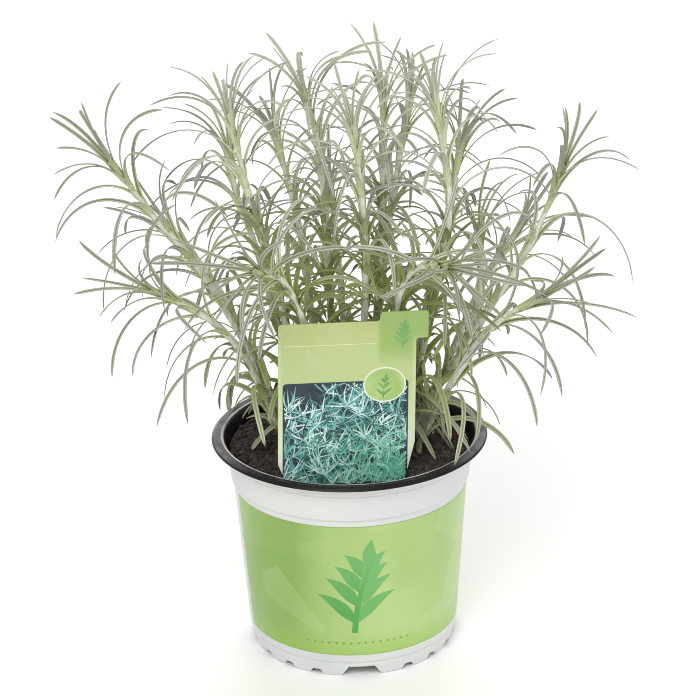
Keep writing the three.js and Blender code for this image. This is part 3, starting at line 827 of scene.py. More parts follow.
def sprig(build, place, foot, height, lean, leaf, pairs, low, high):
    """An upright herb sprig: a bowed stalk with pairs of slender leaves and one at its top.
    Each part lies a hair above the one before, so that no two share a plane."""
    tip = np.array(foot, float) + np.array([lean, height])
    stalk = arc_line(foot, tip, STALK_BOW, STALK_STEPS)
    half_widths = np.linspace(leaf * STALK_WIDTHS[0], leaf * STALK_WIDTHS[1], len(stalk))
    build.add(*strip(stalk, half_widths, low, high + 2 * SPRIG_LIFT, place), tone=0.2)
    for i in range(pairs):
        share = FIRST_PAIR + PAIRS_REACH * i / max(pairs - 1, 1)
        root = stalk[int(share * STALK_STEPS)]
        for side, size in ((-1, 0.94), (1, 1.0)):
            length = leaf * (1 - 0.45 * share) * size
            angle = math.radians(90 - side * (52 - 22 * share))
            end = root + length * np.array([math.cos(angle), math.sin(angle)])
            line = arc_line(root, end, LEAFLET_BOW * side)
            lit = side > 0
            top = high + SPRIG_LIFT * lit
            build.add(*strip(line, leaf_widths(leaf * LEAFLET_WIDTH), low, top, place), tone=0.2 + 0.5 * lit)
    line = arc_line(stalk[-2], stalk[-2] + np.array([lean * 0.15, leaf * TOP_LENGTH]), 0.03)
    build.add(*strip(line, leaf_widths(leaf * TOP_WIDTH), low, high + 3 * SPRIG_LIFT, place), tone=0.5)


def finish_print(build, name, material, slot):
    sharpen(build.finish(name, [material], slot), PRINT_EDGE)


PRINT_RADIUS = 48.3
BAND_LOW, BAND_HIGH = 11.1, 74.8
BAND_START, BAND_END = math.radians(-73), math.radians(268)
BAND_COLUMNS, BAND_ROWS = 190, 9
DOTS = 15
DOT_SPACING = 3.3
DOT_MIDDLE = (2.0, 17.2)
DOT_RADIUS = 0.55


def band_surface():
    """Glossy green film with painted light, lighter in front and darker at its left and back, with faint
    facets and a darker cut edge.
    """
    film = Surface("pot_band", Roughness=0.27, Specular_IOR_Level=0.5)
    x, y, z = film.axes()
    around = film.math("ARCTAN2", x, film.times(y, -1.0))
    # Painted light: the band is lighter in front, a little less to the right, and darker towards its left and
    # back
    painted_front_light = film.times(
        film.span(around, -0.7, -0.1),
        film.span(around, 1.3, 0.25, 0.75, 1.0),
        film.span(around, 1.4, 2.9, 1.0, 0.0),
        0.75,
    )
    soft = film.span(film.noise(17, 2), 0.3, 0.75, -0.15, 0.32)
    edge = film.math("MAXIMUM", film.span(z, 0.0743, 0.07455), film.span(z, 0.0116, 0.01135))
    colour = film.blend(film.math("ADD", painted_front_light, soft), "80a54b", "b0ca82")
    colour = film.tint(colour, "c9dca2", 0.16, film.span(film.facets(42.0, 0.9), 0.4, 1.0))
    colour = film.tint(colour, "92bb4b", 0.55, film.span(z, 0.024, 0.0112))
    colour = film.tint(colour, "7f9a3e", 0.6, edge)
    film.paint(colour, film.noise(1500, 1), 0.98, 1.02)
    film.bump(film.noise(700, 1), 0.05, 0.04)
    return film.material


def sprig_surface():
    ink = Surface("pot_sprig_ink", Roughness=0.36, Specular_IOR_Level=0.45)
    colour = ink.blend(ink.attribute("tone"), "47993f", "74b268")
    colour = ink.tint(colour, "7cb46e", 0.5, ink.span(ink.axes()[2], 0.025, 0.06))
    ink.paint(colour, ink.noise(1400, 1), 0.97, 1.03)
    return ink.material


def make_pot_print():
    turns = np.linspace(BAND_START, BAND_END, BAND_COLUMNS) * PRINT_RADIUS
    heights = np.linspace(BAND_LOW, BAND_HIGH, BAND_ROWS)
    flat = np.stack(np.meshgrid(turns, heights), axis=-1).reshape(-1, 2)
    points, faces = sheet_solid(flat, BAND_ROWS, BAND_COLUMNS, -0.25, 0.07, on_pot)
    band = make_piece("pot_band", points, [face[::-1] for face in faces], [band_surface()], "pot")
    sharpen(band, PRINT_EDGE)
    emblem = Build(["tone"])
    sprig(emblem, on_pot, (0.5, 22.5), 33, 7, 25, 4, 0.0, PRINT_TOP)
    finish_print(emblem, "pot_sprig", sprig_surface(), "pot")
    dots = Build(["tone"])
    middle_x, middle_y = DOT_MIDDLE
    half_widths = np.maximum(DOT_RADIUS * np.sqrt(1 - np.linspace(-1, 1, 9) ** 2), 0.02)
    for i in range(DOTS):
        x = middle_x + (i - (DOTS - 1) / 2) * DOT_SPACING
        line = arc_line((x - DOT_RADIUS, middle_y), (x + DOT_RADIUS, middle_y), 0, 8)
        dots.add(*strip(line, half_widths, 0.0, PRINT_TOP, on_pot), tone=0.1)
    finish_print(dots, "pot_dots", print_surface("pot_dot_ink", "6f9f48", "7bab55"), "pot")


# Soil

SOIL_RADIUS = 52.1
SOIL_TURNS, SOIL_RINGS = 220, 62
LITTER_RADIUS = 51.2
# Nothing lies before the tag this near its middle
CLEAN_HALF_WIDTH = 30.0
# The soil's relief: noise as (scale, height) pairs, and cells as (scale, height, middle level)
SOIL_LUMPS = ((0.16, 0.9), (0.45, 0.6))
SOIL_CELLS = ((0.55, 0.9, 0.35), (1.3, 0.5, 0.3))
# What lies in the soil: its count, the range of its widths, its length and height as shares of them, how far
# it stands out, and its look where that isn't the soil's
LITTER = [
    ("soil_crumbs", 1500, (0.35, 1.5), (1.0, 0.75), 0.25, None),
    ("soil_bark", 120, (0.5, 1.2), (2.6, 0.5), 0.35, ("bark_sliver", "3a2f29", "5f4d40")),
    ("soil_specks", 620, (0.1, 0.3), (1.1, 0.9), 0.6, ("pale_speck", "8e877f", "cbc5bb", 0.85)),
    ("soil_fibres", 520, (0.06, 0.12), (20.0, 0.9), 2.4, ("peat_fibre", "6f6557", "a89b88", 0.85)),
]
# The root ball below the surface, as (radius, height) points
ROOT_BALL = [
    (BODY_RADIUS_HIGH - WALL - 0.3, BODY_TOP),
    (BODY_RADIUS_LOW - WALL - 0.3, 9.0),
    (BODY_RADIUS_LOW - WALL - 1.6, FLOOR_TOP + 0.3),
]


def soil_height(x, y):
    share = np.hypot(x, y) / MOUND_RADIUS
    mound = SOIL_EDGE + (SOIL_CROWN - SOIL_EDGE) * (1 - share * share)
    return mound + SOIL_BUMP * np.sin(0.21 * x + 1) * np.cos(0.17 * y)


def soil_relief(x, y):
    """The crumbly surface's height above the mound."""
    place = Vector((x, y, 3.0))
    relief = sum(noise.noise(place * scale) * height for scale, height in SOIL_LUMPS)
    for scale, height, middle in SOIL_CELLS:
        relief += height * (middle - noise.voronoi(place * scale)[0][0])
    # The soil is pressed down before the tag
    ahead = (x - TAG_X) * math.sin(TAG_TURN) - (y - TAG_Y) * math.cos(TAG_TURN)
    within = min(max((ahead + 3) / 3, 0), 1) * min(max((31 - abs(x - TAG_X)) / 5, 0), 1)
    return relief - DIP_AT_TAG * within


def make_soil():
    turns, rings = SOIL_TURNS, SOIL_RINGS
    points = []
    for i in range(rings):
        radius = SOIL_RADIUS * ((i + 0.5) / (rings - 0.5)) ** 0.8
        for j in range(turns):
            x, y = circle(radius, 2 * math.pi * (j + 0.5 * (i % 2)) / turns)
            fade = min((SOIL_RADIUS - radius) / 1.5, 1.0)
            points.append((x, y, soil_height(x, y) + soil_relief(x, y) * (0.4 + 0.6 * fade)))
    for radius, z in ROOT_BALL:
        shift = 0.5 * ((rings - 1) % 2)
        points += [(*circle(radius, 2 * math.pi * (j + shift) / turns), z) for j in range(turns)]
    levels = rings + len(ROOT_BALL)
    faces = [tuple(range(turns))]
    for level in range(levels - 1):
        faces += ring_faces(level * turns, (level + 1) * turns, turns)
    faces.append(tuple(reversed(range(len(points) - turns, len(points)))))
    earth = earth_surface("potting_soil", "302a29", "5a504d")
    make_piece("soil_surface", points, faces, [earth], "soil", ["soil"])
    for name, count, size, shape, lift, look in LITTER:
        scatter(name, count, size, shape, lift, earth_surface(*look) if look else earth)


def scatter(name, count, size, shape, lift, material):
    """Small lumps strewn over the soil: icosahedra with each corner moved a little."""
    builder = bmesh.new()
    bmesh.ops.create_icosphere(builder, subdivisions=1, radius=1)
    corners = np.array([vertex.co for vertex in builder.verts])
    triangles = [[vertex.index for vertex in face.verts] for face in builder.faces]
    builder.free()
    build = Build()
    for _ in range(count):
        radius = LITTER_RADIUS * math.sqrt(rng.random())
        x, y = circle(radius, rng.random() * 2 * math.pi)
        if abs(x - TAG_X) < CLEAN_HALF_WIDTH and y < TAG_Y:
            continue
        scale = rng.uniform(*size) * np.array([shape[0], 1, shape[1]]) * rng.uniform(0.75, 1.3, 3)
        lump = corners * scale * rng.uniform(0.8, 1.2, (len(corners), 1))
        about = Matrix.Rotation(rng.random() * 6.3, 3, "Z") @ Matrix.Rotation(rng.uniform(-0.5, 0.5), 3, "Y")
        z = soil_height(x, y) + soil_relief(x, y) + lift * scale[2]
        build.add(lump @ np.array(about).T + np.array([x, y, z]), triangles)
    build.finish(name, [material], "soil", smooth=False)


# Tag

PANEL_LEFT, PANEL_RIGHT, PANEL_TOP, PANEL_LOW = -27.3, 26.1, 46.0, -0.5
PANEL_CORNER = 1.6
PICTURE_MARGIN = 0.4
TUFTS = 122
BLADES_PER_TUFT = 14
# Steps by irrational shares spread the tufts evenly in both directions
TUFT_STEPS = (0.618034, 0.7548777)
TUFT_SPAN = (55.5, 53)
PRINTED_LENGTHS = (6, 12.5)
PRINTED_WIDTHS = (0.4, 0.72)
PRINTED_BOW = 0.16
PRINTED_STEPS = 7
BADGE_X, BADGE_Y = 15.9, 44.1
# The badge's ring and disc: half the width and height, the lower and the upper face, and the tone
BADGE_DISCS = ((9.1, 7.8, 0.0, 0.24, 1.0), (8.5, 7.2, 0.2, 0.27, 0.35))
RULE_Y, RULE_START, RULE_END, RULE_HALF_WIDTH = 62.5, -27, 12, 0.16
TAG_BEVEL = 0.12
TAG_EDGE = 30
# Heights on the tag where its stake starts to widen and where its point begins
STAKE_TOP = -10
STAKE_POINT = 12 - STAKE_LENGTH


def tag_outline():
    """The tag's outline from the stake's point, as (x, height) points."""
    side = TAG_HALF_WIDTH
    points = [
        (0, -STAKE_LENGTH),
        (STAKE_HALF_WIDTH, STAKE_POINT),
        (STAKE_HALF_WIDTH, STAKE_TOP),
        (SHOULDER_HALF_WIDTH, SHOULDER_BOTTOM),
        (side, SHOULDER_RIGHT),
    ]
    # Each rounded corner, with the directions in which its bend starts and ends
    corners = [
        ((side, TAB_BOTTOM), (0, -1), (1, 0)),
        ((TAB_RIGHT, TAB_BOTTOM), (-1, 0), (0, 1)),
        ((TAB_RIGHT, TAB_TOP), (0, -1), (-1, 0)),
        ((TAB_LEFT, TAB_TOP), (1, 0), (0, -1)),
        ((TAB_LEFT, TAG_HEIGHT), (0, 1), (-1, 0)),
        ((-side, TAG_HEIGHT), (1, 0), (0, -1)),
    ]
    for corner, back, ahead in corners:
        start, end = (np.array(corner) + TAG_CORNER * np.array(way) for way in (back, ahead))
        points += bend(start, corner, end, 6)
    points += [
        (-side, SHOULDER_LEFT),
        (-SHOULDER_HALF_WIDTH, SHOULDER_BOTTOM),
        (-STAKE_HALF_WIDTH, STAKE_TOP),
        (-STAKE_HALF_WIDTH, STAKE_POINT),
    ]
    return np.array(points, float)


def card_surface():
    """Green card, pale at its foot, with faint facets in its upper part and a darker tab."""
    card = Surface("tag_card", Roughness=0.42, Specular_IOR_Level=0.4)
    # Distances in metres along and up the tag's own face
    x, y, z = card.axes()
    east, north, rise = (
        card.math("SUBTRACT", axis, middle * MM) for axis, middle in ((x, TAG_X), (y, TAG_Y), (z, TAG_Z))
    )
    level = card.math("ADD", card.times(east, math.cos(TAG_TURN)), card.times(north, math.sin(TAG_TURN)))
    aside = card.math("SUBTRACT", level, card.times(rise, math.sin(TAG_ROLL)))
    height = card.math("ADD", rise, card.times(level, math.sin(TAG_ROLL)))
    colour = card.blend(card.span(height, 0.0, 0.048), "e8ebdc", "b6c689")
    sides = card.span(card.math("ABSOLUTE", aside), 0.0270, 0.0288)
    tints = [
        ("b4c07f", card.span(height, 0.052, 0.071)),
        ("c6cfa0", 0.5, card.span(card.facets(75.0, 1.0), 0.35, 1.0), card.span(height, 0.046, 0.062)),
        ("92b061", 0.85, card.span(aside, 0.0120, 0.0150), card.span(height, 0.050, 0.062)),
        ("cdd8a6", 0.5, sides, card.span(height, 0.068, 0.060)),
    ]
    for code, *shares in tints:
        colour = card.tint(colour, code, *shares)
    card.paint(colour, card.noise(1200, 2), 0.975, 1.02)
    card.bump(card.noise(1000, 2), 0.06, 0.04)
    return card.material


def make_tag():
    outline = tag_outline()
    count = len(outline)
    edge = unit(np.roll(outline, -1, axis=0) - np.roll(outline, 1, axis=0))
    inset = outline - np.stack([edge[:, 1], -edge[:, 0]], axis=1) * TAG_BEVEL
    heights = (0.0, -TAG_BEVEL, TAG_BEVEL - TAG_THICKNESS, -TAG_THICKNESS)
    rings = zip((inset, outline, outline, inset), heights)
    points = np.concatenate([on_tag(ring, np.full(count, height)) for ring, height in rings])
    faces = [tuple(range(count)), tuple(reversed(range(3 * count, 4 * count)))]
    for level in range(3):
        faces += ring_faces(level * count, (level + 1) * count, count)
    sharpen(make_piece("tag_plate", points, faces, [card_surface()], "tag", ["plant_tag"]), TAG_EDGE)


def picture_ground():
    """The picture's panel with rounded upper corners, as an upright strip."""
    turn = PANEL_TOP - PANEL_CORNER
    arc = np.sin(np.linspace(0.1, 1, 8) * math.pi / 2)
    z = np.concatenate([np.linspace(PANEL_LOW, turn, 30), turn + PANEL_CORNER * arc])
    drop = np.clip((z - turn) / PANEL_CORNER, 0, 1)
    half = (PANEL_RIGHT - PANEL_LEFT) / 2 - PANEL_CORNER * (1 - np.sqrt(np.maximum(1 - drop**2, 0)))
    centre = np.stack([np.full(len(z), (PANEL_LEFT + PANEL_RIGHT) / 2), z], axis=1)
    return strip(centre, half, -0.2, 0.02, on_tag, across=2)


def clipped(flat_line, widths):
    """The first part of a line that lies inside the picture, with its half widths."""
    x, y = flat_line.T
    across = (x > PANEL_LEFT + PICTURE_MARGIN) & (x < PANEL_RIGHT - PICTURE_MARGIN)
    inside = across & (y > PANEL_LOW + 0.3) & (y < PANEL_TOP - PICTURE_MARGIN)
    start = int(np.argmax(inside))
    rest = inside[start:]
    stop = start + (len(rest) if rest.all() else int(np.argmin(rest)))
    return flat_line[start:stop], widths[start:stop]


def picture_surface():
    ink = Surface("picture_blades", Roughness=0.4, Specular_IOR_Level=0.4)
    x, _, z = ink.axes()
    tone = ink.attribute("tone")
    colour = ink.blend(ink.span(tone, 0.0, 0.5), "10323a", "66aca3")
    colour = ink.tint(colour, "d3e9e7", ink.span(tone, 0.5, 1.0))
    colour = ink.tint(colour, "6fc9a1", 0.6, ink.span(x, -0.034, 0.024), ink.span(z, 0.125, 0.094))
    ink.paint(colour, ink.noise(900, 1), 0.9, 1.1)
    return ink.material


def make_picture():
    """A generic thicket: tufts of blades spread over the panel, the later ones in front and paler."""
    ground = print_surface("picture_ground", "232f37", "304048", 90)
    sharpen(make_piece("tag_picture", *picture_ground(), [ground], "tag"), PRINT_EDGE)
    blades = Build(["tone"])
    for tuft in range(TUFTS):
        share_x, share_y = ((tuft * step) % 1.0 for step in TUFT_STEPS)
        centre_x = PANEL_LEFT - 1 + TUFT_SPAN[0] * share_x + rng.normal(0, 0.8)
        centre_y = -9 + TUFT_SPAN[1] * share_y**1.08 + rng.normal(0, 0.8)
        if centre_x < -11 and centre_y > 31 + 6 * hashed(tuft, 1, 1):
            continue
        lit = rng.normal(0, 0.08)
        depth = tuft / TUFTS
        for i in range(BLADES_PER_TUFT):
            angle = math.radians(90 + rng.normal(0, 60))
            length = rng.uniform(*PRINTED_LENGTHS)
            foot = (centre_x + rng.normal(0, 0.7), centre_y + rng.normal(0, 0.7))
            end = (foot[0] + length * math.cos(angle), foot[1] + length * math.sin(angle))
            line = arc_line(foot, end, rng.uniform(-PRINTED_BOW, PRINTED_BOW), PRINTED_STEPS)
            line, widths = clipped(line, leaf_widths(rng.uniform(*PRINTED_WIDTHS), PRINTED_STEPS))
            if len(line) < 3:
                continue
            share = i / BLADES_PER_TUFT
            lift = 0.03 + 0.16 * (depth + share / TUFTS)
            tone = np.clip(0.5 * depth + 0.3 * share + lit + rng.normal(0, 0.42), 0, 1)
            blades.add(*strip(line, widths, lift - 0.02, lift, on_tag, across=2), tone=tone)
    finish_print(blades, "tag_picture_blades", picture_surface(), "tag")


def badge_surface():
    ink = Surface("badge_ink", Roughness=0.4, Specular_IOR_Level=0.4)
    green = ink.blend(ink.span(ink.noise(110, 2), 0.3, 0.7), "98b868", "b4cc8a")
    colour = ink.tint(green, "e1e6d3", ink.span(ink.attribute("tone"), 0.6, 0.9))
    ink.paint(colour, ink.noise(1500, 1), 0.98, 1.02)
    return ink.material


def make_badge():
    """A pale ring, a soft green disc and a generic small sprig."""
    badge = Build(["tone"])
    turn = np.linspace(-1, 1, 33) * math.pi / 2
    for radius_x, radius_y, low, high, tone in BADGE_DISCS:
        line = np.stack([BADGE_X + radius_x * np.sin(turn), np.full(len(turn), BADGE_Y)], axis=1)
        half = np.maximum(radius_y * np.cos(turn), 0.03)
        badge.add(*strip(line, half, low, high, on_tag, across=8), tone=tone)
    finish_print(badge, "tag_badge", badge_surface(), "tag")
    leaves = Build(["tone"])
    sprig(leaves, on_tag, (BADGE_X - 0.5, BADGE_Y - 6.0), 8.2, 1.1, 5.6, 3, 0.24, 0.31)
    finish_print(leaves, "tag_badge_leaves", print_surface("badge_leaf_ink", "5d8f4a", "86ad5c", 300), "tag")


def make_tag_marks():
    """The tab's generic sprig and the thin rule under the bare heading."""
    marks = Build(["tone"])
    sprig(marks, on_tag, (23.6, 60.2), 9.6, 1.0, 6.4, 4, 0.0, 0.07)
    finish_print(marks, "tag_marks", print_surface("tag_mark_ink", "6fa35c", "84b56c", 200), "tag")
    rule = Build(["tone"])
    line = np.stack([np.linspace(RULE_START, RULE_END, 12), np.full(12, RULE_Y)], axis=1)
    rule.add(*strip(line, np.full(12, RULE_HALF_WIDTH), 0.0, 0.06, on_tag, across=2), tone=0.5)
    finish_print(rule, "tag_rule", print_surface("tag_rule_ink", "ccd6a6", "d8dfb8", 200), "tag")


# Growth: the same rule as the solids, with finer blades and more leaves between


# A leaf by the solids' rule. A pair is an old and a young leaf's value, or the ends of a random range.
YOUNG_LENGTH = 11
OLD_SHARE = 0.45
LOW_SHARE = 0.38
TURN_RANGE = (-0.2, 0.2)
TURN_PER_TRY = 0.16
START_ANGLES = (0.55, 0.18)
CURL_RANGE = (1.3, 2.3)
YOUNG_CURL = 0.45
SWAY_RANGE = (-0.5, 0.5)
DROOPS = (0.85, 0.2)
LENGTH_RANGE = (0.84, 1.1)
WIDTH_SHARES = (1.1, 0.8)
WIDTH_RANGE = (0.85, 1.1)
TWIST_RANGE = (-0.9, 0.9)

# Leaves inside the bush lie within a radius and below a height. The share of places left bare is least high
# up, more in the heart of the bush and most around it. Above DENSE_FROM the leaves stand by threes.
INNER_RADIUS, INNER_TOP = 45, 205
HIGH_FROM, DENSE_FROM, HEART_RADIUS = 148, 150, 27
BARE_HIGH, BARE_HEART, BARE_AROUND = 0.08, 0.3, 0.6

# How near the added leaves' middle lines may come to others, and how many attempts each leaf has
BETWEEN_REACH, BETWEEN_TRIES = 0.7, 9
CROWN_REACH, CROWN_TRIES = 0.45, 5
INNER_REACH, INNER_TRIES = 0.4, 3
# The share of a shoot below the first leaf between, and the share of places that get one
BETWEEN_FROM, BETWEEN_SHARE = 0.42, 0.3


def hashed(stem, leaf, use):
    """A fixed pseudo-random number from 0 to 1 for each stem, leaf and use."""
    wave = math.sin(stem * 127.1 + leaf * 311.7 + use * 74.7) * 43758.5453
    return wave - math.floor(wave)


def mix(a, b, share):
    return a + (b - a) * share


def curve_points(route, steps):
    """Points at even shares of a smooth curve through the route."""
    route = np.asarray(route, float)
    spans = len(route) - 1
    result = []
    for i in range(steps + 1):
        place = spans * i / steps
        at = min(int(place), spans - 1)
        weight = place - at
        p1, p2 = route[at], route[at + 1]
        p0 = route[at - 1] if at > 0 else 2 * p1 - p2
        p3 = route[at + 2] if at + 2 <= spans else 2 * p2 - p1
        t0, t1 = 0.5 * (p2 - p0), 0.5 * (p3 - p1)
        square, cube = 3 * (p2 - p1) - 2 * t0 - t1, 2 * (p1 - p2) + t0 + t1
        result.append(p1 + t0 * weight + square * weight**2 + cube * weight**3)
    return np.array(result)


class Shoot:
    """A shoot's middle line with the length passed at each of its points."""

    def __init__(self, route, steps):
        self.route = route
        self.points = curve_points(route, steps)
        pieces = np.linalg.norm(np.diff(self.points, axis=0), axis=1)
        self.lengths = np.concatenate([[0], np.cumsum(pieces)])
        self.total = self.lengths[-1]
        self.leafy = self.total - BARE_LENGTH - LAST_LEAF
        self.count = round(self.leafy / LEAF_SPACING)

    def leaf_at(self, i):
        """The length up the shoot at which a leaf starts: leaves stand closer towards the tip."""
        return BARE_LENGTH + self.leafy * (1 - (1 - i / (self.count - 1)) ** 1.5)

    def along(self, length):
        i = 1
        while i < len(self.points) - 1 and self.lengths[i] < length:
            i += 1
        share = (length - self.lengths[i - 1]) / (self.lengths[i] - self.lengths[i - 1])
        direction = unit(self.points[i] - self.points[i - 1])
        return self.points[i - 1] + (self.points[i] - self.points[i - 1]) * share, direction


def leaf_record(shoot, length, line, outward, **measures):
    """A leaf's middle line with the directions and measures that its blade is made from."""
    point, direction = shoot.along(length)
    return {
        "line": line,
        "spin": unit(np.cross(direction, line[2] - point)),
        "direction": direction,
        "outward": outward,
        "radius": SHOOT_SHARE * shoot_radius(length / shoot.total),
        **measures,
    }


def leaf_line(
    stem, shoot, order, length, attempt, turn=None, scale=1, rise=None, bow=None, hang=None, inner=0
):
    """One leaf's middle line and its measures. The rise is its angle from the shoot where it starts, the bow
    what it turns by towards its tip, and the hang how strongly its weight draws it down."""
    chance = {use: hashed(stem, order, use) for use in range(1, 8)}
    point, direction = shoot.along(length)
    young = math.exp((length - shoot.total) / YOUNG_LENGTH)
    aside = math.ceil(attempt / 2) * (1 if attempt % 2 else -1) * TURN_PER_TRY
    around = (order * GOLDEN_ANGLE if turn is None else turn) + mix(*TURN_RANGE, chance[1]) + aside
    across = unit(np.cross((0, 1, 0), direction))
    ahead = np.cross(direction, across)
    start = mix(*START_ANGLES, young) if rise is None else rise
    curl = mix(mix(*CURL_RANGE, chance[2]), YOUNG_CURL, young) if bow is None else bow
    curl *= 1 - 0.02 * attempt
    sway = mix(*SWAY_RANGE, chance[3])
    droop = mix(*DROOPS, young) if hang is None else hang
    grown = 1 - 0.3 * math.exp(-length / 25) - 0.46 * young
    reach = LEAF_LENGTH * grown * mix(*LENGTH_RANGE, chance[4]) * (1 - 0.03 * attempt) * scale
    share = (np.arange(FINE_STEPS) + 0.5) / FINE_STEPS
    side = around + sway * share
    outward = across * np.cos(side)[:, None] + ahead * np.sin(side)[:, None]
    angle = (start + curl * share**1.3)[:, None]
    heading = direction * np.cos(angle) + outward * np.sin(angle)
    heading[:, 2] -= droop * share
    line = np.concatenate([[point], point + np.cumsum(unit(heading) * reach / FINE_STEPS, axis=0)])
    return leaf_record(
        shoot,
        length,
        line,
        outward[0],
        width=LEAF_WIDTH * mix(*WIDTH_SHARES, young) * mix(*WIDTH_RANGE, chance[5]),
        young=young,
        low=length < LOW_SHARE * shoot.total,
        aged=float(np.clip(1 - length / (OLD_SHARE * shoot.total), 0, 1)),
        twist=mix(*TWIST_RANGE, chance[6]),
        tone=chance[7],
        inner=inner,
    )


def hanging_leaf(stem, shoot, length, tip, arch, width):
    """An old leaf from a shoot to where its tip hangs."""
    point, direction = shoot.along(length)
    tip = np.array(tip)
    level = unit((tip - point) * (1, 1, 0))
    lift = arch * np.array([0.0, 0.0, 1.0])
    bends = [point, mix(point, tip, 0.33) + lift, mix(point, tip, 0.72) + 1.1 * lift, tip]
    share = np.linspace(0, 1, FINE_STEPS + 1)[:, None]
    weights = ((1 - share) ** 3, 3 * share * (1 - share) ** 2, 3 * share**2 * (1 - share), share**3)
    return leaf_record(
        shoot,
        length,
        sum(weight * bend for weight, bend in zip(weights, bends)),
        unit(level - direction * (direction @ level)),
        width=LEAF_WIDTH * 1.1 * width,
        young=0,
        low=True,
        aged=1,
        twist=mix(-0.5, 0.5, hashed(stem, length, 6)),
        tone=mix(0.6, 1, hashed(stem, length, 7)),
        inner=0,
    )


def shoot_radius(share):
    swell = mix(STEM_RADIUS_LOW, STEM_RADIUS_MID, min(share * 3, 1))
    return mix(swell, STEM_RADIUS_TIP, share * share)


def coarse(leaf):
    rings = SHORT_LEAF_RINGS if leaf["young"] > 0.3 or leaf["low"] else LONG_LEAF_RINGS
    return leaf["line"][rings]


class Taken:
    """The straight pieces that the shoots and leaves already take up."""

    def __init__(self):
        self.a, self.b = np.zeros((0, 3)), np.zeros((0, 3))
        self.owner, self.reach = np.zeros(0, int), np.zeros(0)

    def add(self, owner, line, reach):
        count = len(line) - 1
        self.a = np.concatenate([self.a, line[:-1]])
        self.b = np.concatenate([self.b, line[1:]])
        self.owner = np.concatenate([self.owner, np.full(count, owner)])
        self.reach = np.concatenate([self.reach, np.full(count, reach)])

    def clear(self, owner, line, reach):
        """Whether a line keeps its distance from everything of the other stems."""
        middle = line.mean(axis=0)
        span = np.linalg.norm(line - middle, axis=1).max()
        near = (self.owner != owner) & (
            np.linalg.norm((self.a + self.b) / 2 - middle, axis=1)
            < span + np.linalg.norm(self.b - self.a, axis=1) / 2 + reach + self.reach + CLEARANCE
        )
        if not near.any():
            return True
        c, d, space = self.a[near], self.b[near], reach + self.reach[near] + CLEARANCE
        for a, b in zip(line[:-1], line[1:]):
            if (piece_distance(a, b, c, d) < space).any():
                return False
        return True


def piece_distance(a, b, c, d):
    """The shortest distances between the straight piece a-b and each piece c-d."""
    u, v, w = b - a, d - c, a - c
    uu, vv = u @ u, (v * v).sum(1)
    uv, uw, vw = v @ u, w @ u, (v * w).sum(1)
    even = uu * vv - uv * uv
    s = np.where(even > 1e-9, np.clip((uv * vw - vv * uw) / np.maximum(even, 1e-12), 0, 1), 0)
    t = np.clip((uv * s + vw) / vv, 0, 1)
    s = np.clip((uv * t - uw) / uu, 0, 1)
    return np.linalg.norm(w + u * s[:, None] - v * t[:, None], axis=1)


def clear_of_pot(line):
    """Whether a leaf keeps off the soil, the rim and the tag, and hangs over the tag's face nowhere."""
    places = np.concatenate([line[3:], (line[3:] + line[2:-1]) / 2])
    x, y, z = places.T
    radius = np.hypot(x, y)
    well = RIM_RADIUS - 9
    if ((radius < well) & (z < SOIL_CROWN + ABOVE_SOIL)).any():
        return False
    if ((radius >= well) & (radius < RIM_RADIUS + 2) & (z < POT_HEIGHT + ABOVE_RIM)).any():
        return False
    up = z - TAG_Z
    aside, away = x - TAG_X, y - TAG_Y
    beside = aside * math.cos(TAG_TURN) + away * math.sin(TAG_TURN)
    behind = away * math.cos(TAG_TURN) - aside * math.sin(TAG_TURN) - up * math.tan(TAG_LEAN)
    top = TAB_TOP + OVER_TAG + FRONT_SLOPE * np.maximum(-behind, 0)
    within = (beside > -TAG_HALF_WIDTH - OVER_TAG) & (beside < TAB_RIGHT + OVER_TAG)
    return bool(((behind > BESIDE_TAG) | (up > top) | ~within).all())


def outside_box(line):
    """Whether a leaf reaches past the solids' own box."""
    low, high = (np.array(corner) / MM for corner in cad_box)
    return bool((line.min(axis=0) < low + BOX_MARGIN).any() or (line.max(axis=0) > high - BOX_MARGIN).any())


